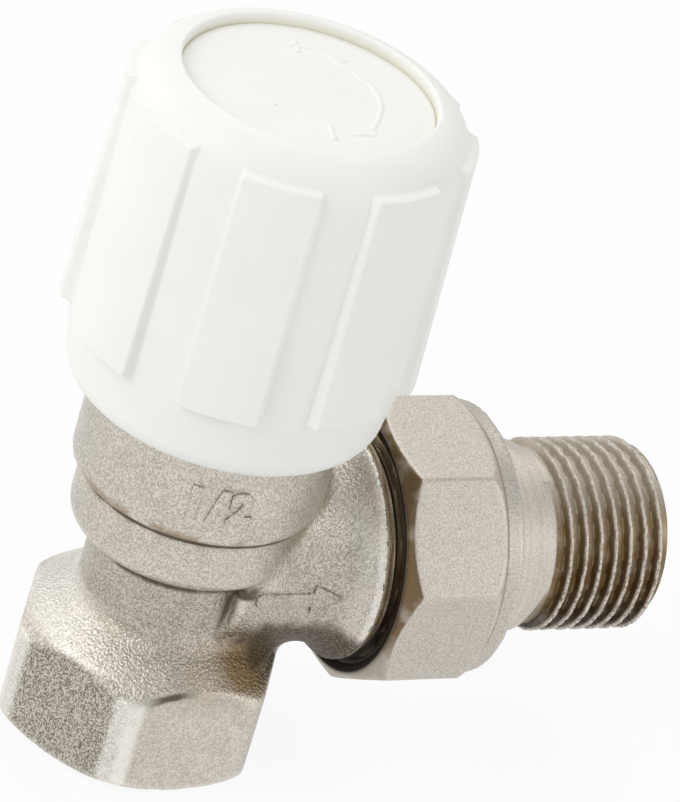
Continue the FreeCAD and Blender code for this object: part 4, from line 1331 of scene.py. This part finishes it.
@dataclass
class Handwheel:
    """White handwheel with its ribs, webs, cover disc and turning marks."""

    bottom: float = 41.3
    top: float = 79.1
    skirt: float = 16.9
    skirt_round: float = 3.0
    drum: float = 17.7
    crown: float = 17.5
    crown_round: float = 4.9
    cavity: float = 13.8
    cavity_wall: float = 1.6
    recess: float = 13.2
    recess_round: float = 0.30
    disc_seat: float = 76.0
    disc_top: float = 77.8
    disc_radius: float = 13.18
    disc_round: float = 0.12
    disc_rim: float = 1.2
    disc_columns: int = 180
    pit: float = 4.5
    screw_seat: float = 72.8
    screw_hole: float = 2.0
    socket_top: float = 70.4
    socket: float = 3.6
    hub_bottom: float = 57.0
    hub: float = 6.5
    deck_bottom: float = 73.5
    rib_count: int = 8
    rib_phase: float = 15.0
    rib_half_angle: float = 12.9
    rib_edge: float = 2.0
    rib_low: float = 49.4
    rib_foot: float = 1.2
    rib_high: float = 76.2
    rib_low_radius: float = 18.9
    rib_high_radius: float = 18.1
    rib_end: float = 0.45
    rows: tuple[float, float, float] = (1.1, 0.08, 1.6)
    web_count: int = 6
    web_thick: float = 1.6
    web_round: float = 0.3
    web_sink: float = 0.4
    web_bottom: float = 69.0
    mark_rise: float = 0.17
    mark_width: float = 0.58

    def build(self) -> None:
        """Make and place every piece of the handwheel."""
        place_piece("ribbed_wheel", self.wheel(), Body.WHEEL, WHITE_PLASTIC, ["handwheel"], 50.0)
        place_piece("wheel_webs", self.webs(), Body.WHEEL, WHITE_PLASTIC)
        place_piece("top_disc", self.disc(), Body.WHEEL, WHITE_PLASTIC, ["cover_disc"])
        place_piece("turning_marks", self.marks(), Body.WHEEL, WHITE_PLASTIC)

    def outline(self) -> list[Point]:
        """Closed section of the wheel without its ribs."""
        skirt_middle = (self.skirt - self.skirt_round, self.bottom + self.skirt_round)
        crown_middle = (self.crown - self.crown_round, self.top - self.crown_round)
        points = arc(skirt_middle, self.skirt_round, -90, 0, 14)
        start, end = points.pop(), (self.crown, crown_middle[1])
        stops = [start[1], self.rib_low - self.rib_foot, self.rib_low + self.rib_foot, end[1]]
        levels, radii = (start[1], self.rib_low, end[1]), (start[0], self.drum, end[0])
        for low, high, step in zip(stops, stops[1:], self.rows):
            points += line((np.interp(low, levels, radii), low), (np.interp(high, levels, radii), high), step)
        last = math.degrees(math.acos((self.recess + self.recess_round - crown_middle[0]) / self.crown_round))
        points += arc(crown_middle, self.crown_round, 0, last, 60)
        edge = points[-1][1] - self.recess_round
        points += arc((self.recess + self.recess_round, edge), self.recess_round, 100, 180, 4)
        points += [(self.recess, self.disc_seat), (self.pit, self.disc_seat), (self.pit, self.screw_seat),
                   (self.screw_hole, self.screw_seat), (self.screw_hole, self.socket_top),
                   (self.socket, self.socket_top), (self.socket, self.hub_bottom),
                   (self.hub, self.hub_bottom), (self.hub, self.deck_bottom),
                   (self.cavity, self.deck_bottom), (self.cavity, self.bottom)]
        return points

    def columns(self) -> np.ndarray:
        """Column angles, close together at the sides of the ribs."""
        period = 360 / self.rib_count
        side = self.rib_half_angle
        on_rib = np.linspace(0, side - 2.4, 4)
        at_side = np.linspace(side - 1.7, side + 2.1, 15)
        between = np.linspace(side + 3.2, period / 2, 4)[:-1]
        half = np.concatenate([on_rib, at_side, between])
        one = np.concatenate([-half[:0:-1], half, [period / 2]])
        turned = [self.rib_phase + period * index + one for index in range(self.rib_count)]
        return np.radians(np.concatenate(turned))

    def wheel(self) -> bpy.types.Mesh:
        """Turned wheel whose outside swells into the ribs."""
        mesh = revolve("wheel", self.outline(), self.columns(), Axis.SPINDLE)
        tree = Shaping("ribs", {
            "Count": self.rib_count,
            "Phase": math.radians(self.rib_phase),
            "Half Angle": math.radians(self.rib_half_angle),
            "Edge Angle": math.radians(self.rib_edge),
            "Low": self.rib_low * MM,
            "High": self.rib_high * MM,
            "End": self.rib_end * MM,
            "Low Radius": self.rib_low_radius * MM,
            "High Radius": self.rib_high_radius * MM,
            "Wall": (self.cavity + self.cavity_wall) * MM,
        })
        count, phase, half_angle, edge, low, high, end, low_radius, high_radius, wall = tree.sizes
        x, y, z = tree.spot()
        radius = distance(x, y)
        angle = x.calc("ARCTAN2", y, x) - phase
        half_period = math.pi / count
        offset = angle.calc("WRAP", angle, half_period, -1 * half_period).magnitude()
        side = 1 - offset.ramp(half_angle - 0.2 * edge, half_angle + 0.8 * edge)
        half_end = 0.5 * end
        ends = z.ramp(low - half_end, low + half_end) * (1 - z.ramp(high - half_end, high + half_end))
        crest = low_radius + (z - low) / (high - low) * (high_radius - low_radius)
        outside = radius.calc("GREATER_THAN", radius, wall)
        target = radius + outside * side * ends * (crest - radius)
        scale = target / radius.most(TINY)
        return tree.shape(mesh, tree.moved(tree.geometry, x * scale, y * scale, z), WHITE_PLASTIC)

    def webs(self) -> bpy.types.Mesh:
        """Stiffening webs between hub and wall, copied round the spindle axis."""
        inner, outer = self.hub - self.web_sink, self.cavity + self.web_sink
        low, high = self.web_bottom, self.deck_bottom + self.web_sink
        outline = round_corners([(inner, low), (outer, low), (outer, high), (inner, high)], self.web_round, 2)
        half = self.web_thick / 2
        rings = [[(radius, side, level) for radius, level in outline] for side in (-half, half)]
        mesh = ring_mesh("web", np.array(rings) * MM, False)
        tree = Shaping("ring_of_webs", {"Count": self.web_count, "Phase": math.radians(self.rib_phase)})
        count, phase = tree.sizes
        points = tree.node("GeometryNodePoints", {}, {"Count": self.web_count, "Position": (0.0, 0.0, 0.0)})
        step = 2 * math.pi / count
        turn = tree.joined(0.0, 0.0, tree.node("GeometryNodeInputIndex") * step + phase)
        sockets = {"Points": points, "Instance": tree.geometry, "Rotation": turn}
        copies = tree.node("GeometryNodeInstanceOnPoints", {}, sockets)
        return closed(tree.shape(mesh, copies, WHITE_PLASTIC))

    def disc(self) -> bpy.types.Mesh:
        """Cover disc with a softly rounded rim."""
        round_middle = (self.disc_radius - self.disc_round, self.disc_top - self.disc_round)
        outline = [(0.0, self.disc_seat), (self.disc_radius, self.disc_seat)]
        outline += arc(round_middle, self.disc_round, 0, 90, 4)
        outline += [(self.disc_radius - self.disc_rim, self.disc_top), (0.0, self.disc_top)]
        return revolve("top_disc", outline, even_angles(self.disc_columns), Axis.SPINDLE)

    def mark_lines(self) -> bpy.types.Curve:
        """Middle lines of the plus, the minus, the turning arrow and the short strokes."""
        sweep = [(4.5, 7.7), (5.8, 5.4), (6.9, 3.1), (7.5, 1.2), (7.5, -0.7), (7.1, -2.4), (6.3, -3.9),
                 (5.5, -5.3), (4.0, -7.2)]
        lines = [
            [(1.0, 9.15), (3.6, 8.35)],
            [(2.62, 10.0), (2.38, 9.0)],
            [(2.22, 8.5), (2.0, 7.5)],
            sweep,
            [(6.1, 5.75), (6.8, 6.1)],
            [(1.3, -8.1), (3.9, -8.1)],
            [(-0.4, -6.4), (-1.0, -9.1)],
            [(-6.4, -0.9), (-4.9, -2.7)],
        ]
        paths = bpy.data.curves.new("mark_lines", "CURVE")
        paths.dimensions = "3D"
        for points in lines:
            spline = paths.splines.new("NURBS" if points is sweep else "POLY")
            spline.points.add(len(points) - 1)
            for spot, (x, y) in zip(spline.points, points):
                spot.co = (x * MM, y * MM, self.disc_top * MM, 1.0)
            if points is sweep:
                spline.order_u = 3
                spline.use_endpoint_u = True
        return paths

    def marks(self) -> bpy.types.Mesh:
        """Raised marks on the cover disc, swept along their lines and pressed flat."""
        tree = Shaping("raised_lines", {"Width": self.mark_width * MM, "Rise": self.mark_rise * MM})
        width, rise = tree.sizes
        section = tree.node("GeometryNodeCurvePrimitiveCircle", {"mode": "RADIUS"},
                            {"Resolution": 10, "Radius": width / 2})
        sockets = {"Curve": tree.geometry, "Profile Curve": section, "Fill Caps": True}
        bead = tree.node("GeometryNodeCurveToMesh", {}, sockets)
        x, y, z = tree.spot()
        level = self.disc_top * MM
        pressed = tree.moved(bead, x, y, level + (z - level) * (rise / (width / 2)))
        return closed(tree.shape(self.mark_lines(), pressed, WHITE_PLASTIC))


@dataclass
class UnionEnd:
    """Union nut and threaded tail."""

    nut_voxel: float = 0.27
    nut_passes: int = 5
    nut_reach: float = 16.34
    nut_collar: float = 14.72
    nut_wear_reach: int = 22
    nut_wear_scale: float = 0.22
    flats_end: float = 31.5
    back_angle: float = 60.0
    head_start: float = 27.9
    head_end: float = 30.4
    head_radius: float = 12.2
    head_round: float = 0.2
    collar_radius: float = 10.35
    collar_row: float = 1.0
    edge_break: float = 0.15
    thread_start: float = 39.9
    groove_radius: float = 9.32
    groove_length: float = 1.0
    lead_in: float = 0.35
    lead_row: float = 0.2
    tail_end: float = 53.9
    tail_columns: int = 420
    thread_radius: float = 10.4775
    thread_row: float = 0.09
    end_chamfer: float = 1.0
    bore: float = 6.2
    bore_chamfer: float = 0.3
    key_radius: float = 6.8
    key_depth: float = 9.0
    pitch: float = 1.814
    depth: float = 1.05
    past_end: float = 1.0
    runout: float = 0.4
    nick: float = 0.08

    def build(self) -> None:
        """Make and place the nut and the tail."""
        place_piece("octagon_nut", self.nut(), Body.NUT, NUT_PLATING, ["union_nut"], 80.0)
        place_piece("threaded_tail", self.tail(), Body.TAIL, TAIL_PLATING, ["union_tail"], 60.0)

    def nut(self) -> bpy.types.Mesh:
        """Even copy of the nut with soft edges and a rounded end towards the tail."""
        mesh = blended_copy("union_nut", self.nut_voxel, self.nut_passes)
        spots = coordinates(mesh) / MM
        rise = spots[:, 2] - AXIS_HEIGHT
        share = np.minimum(1.0, self.nut_limit(spots[:, 0]) / np.hypot(spots[:, 1], rise))
        spots[:, 1] *= share
        spots[:, 2] = AXIS_HEIGHT + rise * share
        set_coordinates(mesh, spots * MM)
        store_wear(mesh, self.nut_wear_reach, self.nut_wear_scale)
        return mesh

    def nut_limit(self, along: np.ndarray) -> np.ndarray:
        """Largest radius of the nut at places along the outlet axis; an arc leads down to its collar."""
        turn = math.radians(self.back_angle)
        rounding = (self.nut_reach - self.nut_collar) / (1 - math.cos(turn))
        start = self.flats_end - rounding * math.sin(turn)
        past = np.clip(along - start, 0.0, self.flats_end - start)
        return self.nut_reach - rounding + np.sqrt(rounding**2 - past**2)

    def tail_outline(self, crest_start: float) -> list[Point]:
        """Closed section of the tail; its thread's crest starts at the given place along the axis."""
        collar, groove, crest = self.collar_radius, self.groove_radius, self.thread_radius
        start, end, bore, small = self.thread_start, self.tail_end, self.bore, self.edge_break
        head = [(self.key_radius, self.head_start), (self.head_radius, self.head_start),
                (self.head_radius, self.head_end), (collar, self.head_end)]
        outline = round_corners(head, self.head_round)[:-4]
        outline += line((collar, self.head_end), (collar, start - small), self.collar_row)
        outline += [(collar, start - small), (collar - small, start), (groove + small, start),
                    (groove, start + small), (groove, crest_start - small)]
        lead, shoulder = (crest, crest_start + self.lead_in), (crest, end - self.end_chamfer)
        rim = (crest - self.end_chamfer, end)
        outline += line((groove + small, crest_start), lead, self.lead_row)
        outline += line(lead, shoulder, self.thread_row) + line(shoulder, rim, self.thread_row)
        inner = self.head_start + self.key_depth
        return outline + [rim, (bore + self.bore_chamfer, end), (bore, end - self.bore_chamfer),
                          (bore, inner), (self.key_radius, inner)]

    def tail(self) -> bpy.types.Mesh:
        """Turned tail with its thread."""
        crest_start = self.thread_start + self.groove_length
        mesh = revolve("tail", self.tail_outline(crest_start), even_angles(self.tail_columns), Axis.OUTLET)
        thread = Thread(crest_start - self.pitch, self.tail_end + self.past_end, self.pitch,
                        self.thread_radius, self.depth, Axis.OUTLET, self.runout, nick=self.nick)
        return thread.cut(mesh, TAIL_PLATING)


@dataclass
class Headwork:
    """Inner pieces, which keep their CAD meshes and get the finish of their material slot."""

    finishes: tuple[Finish, ...] = (BRASS, STEEL, RUBBER, FIBRE)

    def build(self) -> None:
        """Dress every inner node."""
        by_slot = {finish.slot: finish for finish in self.finishes}
        for row in frame["record"]["subparts"]:
            finish = by_slot.get(row["material_slot"])
            if finish is None:
                continue
            for slot in frame["nodes"][row["node"]].material_slots:
                slot.link = "OBJECT"
                slot.material = finish.material()
            LOG.info("%s keeps its solid, dressed in %s", row["node"], finish.name)


@dataclass
class Camera:
    """Camera at the photograph's viewing angle."""

    azimuth: float = -32.14
    elevation: float = 30.47
    roll: float = 17.03
    distance: float = 600.0
    right_shift: float = 17.07
    up_shift: float = 14.72
    focal_pixels: float = 5742.0
    image_height: float = 802.0
    sensor: float = 36.0

    def basis(self) -> tuple[Vector, Vector, Vector]:
        """Directions to the right, up and back of the camera."""
        turn, tilt = math.radians(self.azimuth), math.radians(self.elevation)
        back = Vector((math.sin(turn) * math.cos(tilt), -math.cos(turn) * math.cos(tilt), math.sin(tilt)))
        level = Vector((math.cos(turn), math.sin(turn), 0.0))
        upright = back.cross(level)
        roll = math.radians(self.roll)
        right = level * math.cos(roll) + upright * math.sin(roll)
        return right, back.cross(right), back

    def build(self) -> None:
        """Make the scene's camera."""
        right, up, back = self.basis()
        lens = bpy.data.cameras.new("photo_camera")
        lens.sensor_fit = "VERTICAL"
        lens.sensor_height = self.sensor
        lens.lens = self.focal_pixels * self.sensor / self.image_height
        camera = linked("photo_camera", lens)
        spot = Vector((0.0, 0.0, AXIS_HEIGHT)) + back * self.distance
        spot += right * self.right_shift + up * self.up_shift
        camera.matrix_world = Matrix.Translation(spot * MM) @ Matrix((right, up, back)).transposed().to_4x4()
        bpy.context.scene.camera = camera


@dataclass(frozen=True)
class Lamp:
    """Soft area lamp: direction from the object, distance and size in metres, level on a white card."""

    name: str
    direction: tuple[float, float, float]
    distance: float
    size: float
    level: float

    def build(self, middle: Vector) -> None:
        """Hang the lamp so that it looks at the middle of the object."""
        light = bpy.data.lights.new(self.name, "AREA")
        light.shape = "DISK"
        light.size = self.size
        light.energy = self.level * math.pi**2 * self.distance**2
        lamp = linked(self.name, light)
        away = Vector(self.direction).normalized()
        lamp.location = middle + away * self.distance
        lamp.rotation_euler = away.to_track_quat("Z", "Y").to_euler()


@dataclass
class Studio:
    """Pale floor, soft lamps and a pale surround."""

    floor_size: float = 40.0
    floor_drop: float = 0.0004
    floor_colour: Colour = (0.90, 0.90, 0.90)
    floor_white: float = 0.90
    white: Colour = (1.0, 1.0, 1.0)
    surround: float = 0.63
    lamps: tuple[Lamp, ...] = (
        Lamp("key", (-0.95, -0.15, 0.75), 0.75, 0.45, 0.30),
        Lamp("side", (0.80, -0.85, 0.45), 0.8, 0.40, 0.13),
        Lamp("back", (0.25, 0.60, 1.00), 0.9, 0.50, 0.17),
        Lamp("rim", (-0.55, 0.80, 0.35), 0.8, 0.40, 0.12),
    )

    def build(self) -> None:
        """Make floor, lamps and surround."""
        self.lay_floor()
        self.light_surround()
        low, high = (Vector(corner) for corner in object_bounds())
        for lamp in self.lamps:
            lamp.build((low + high) / 2)
        bpy.context.scene.view_settings.view_transform = "Standard"

    def seen(self, painter: Painter) -> Term:
        """1 for rays that show the background to the eye, in metal or through glass."""
        camera = painter.node("ShaderNodeLightPath", {}, {}, "Is Camera Ray")
        mirrored, through = painter.beside(camera, "Is Glossy Ray", "Is Transmission Ray")
        return camera.most(mirrored).most(through)

    def lay_floor(self) -> None:
        """Large pale floor that keeps a soft shadow."""
        half, level = self.floor_size / 2, -self.floor_drop
        corners = [(-half, -half, level), (half, -half, level), (half, half, level), (-half, half, level)]
        mesh = bpy.data.meshes.new("floor")
        mesh.from_pydata(corners, [], [(0, 1, 2, 3)])
        material, painter = new_material("pale_floor")
        matt = painter.node("ShaderNodeBsdfDiffuse", {}, {"Color": (*self.floor_colour, 1.0)})
        glow = painter.node("ShaderNodeEmission", {}, {"Color": (*self.white, 1.0), "Strength": 1.0})
        share = self.floor_white * self.seen(painter)
        mixed = painter.node("ShaderNodeMixShader", {}, {"Fac": share, "Shader": matt, "Shader_001": glow})
        painter.node("ShaderNodeOutputMaterial", {}, {"Surface": mixed})
        mesh.materials.append(material)
        linked("floor", mesh)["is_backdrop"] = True

    def light_surround(self) -> None:
        """Even pale light from all round."""
        world = bpy.data.worlds.new("surround")
        world.use_nodes = True
        bpy.context.scene.world = world
        painter = Painter(world.node_tree)
        sockets = {"Color": (*self.white, 1.0), "Strength": self.surround}
        light = painter.node("ShaderNodeBackground", {}, sockets)
        painter.node("ShaderNodeOutputWorld", {}, {"Surface": light})


def main() -> None:
    """Dress the valve, light it and place the camera."""
    logging.basicConfig(level=logging.INFO, format="%(name)s: %(message)s")
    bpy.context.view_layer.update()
    for assembly in (CastBody(), Handwheel(), UnionEnd(), Headwork()):
        assembly.build()
    Studio().build()
    Camera().build()


if __name__ == "__main__":
    main()
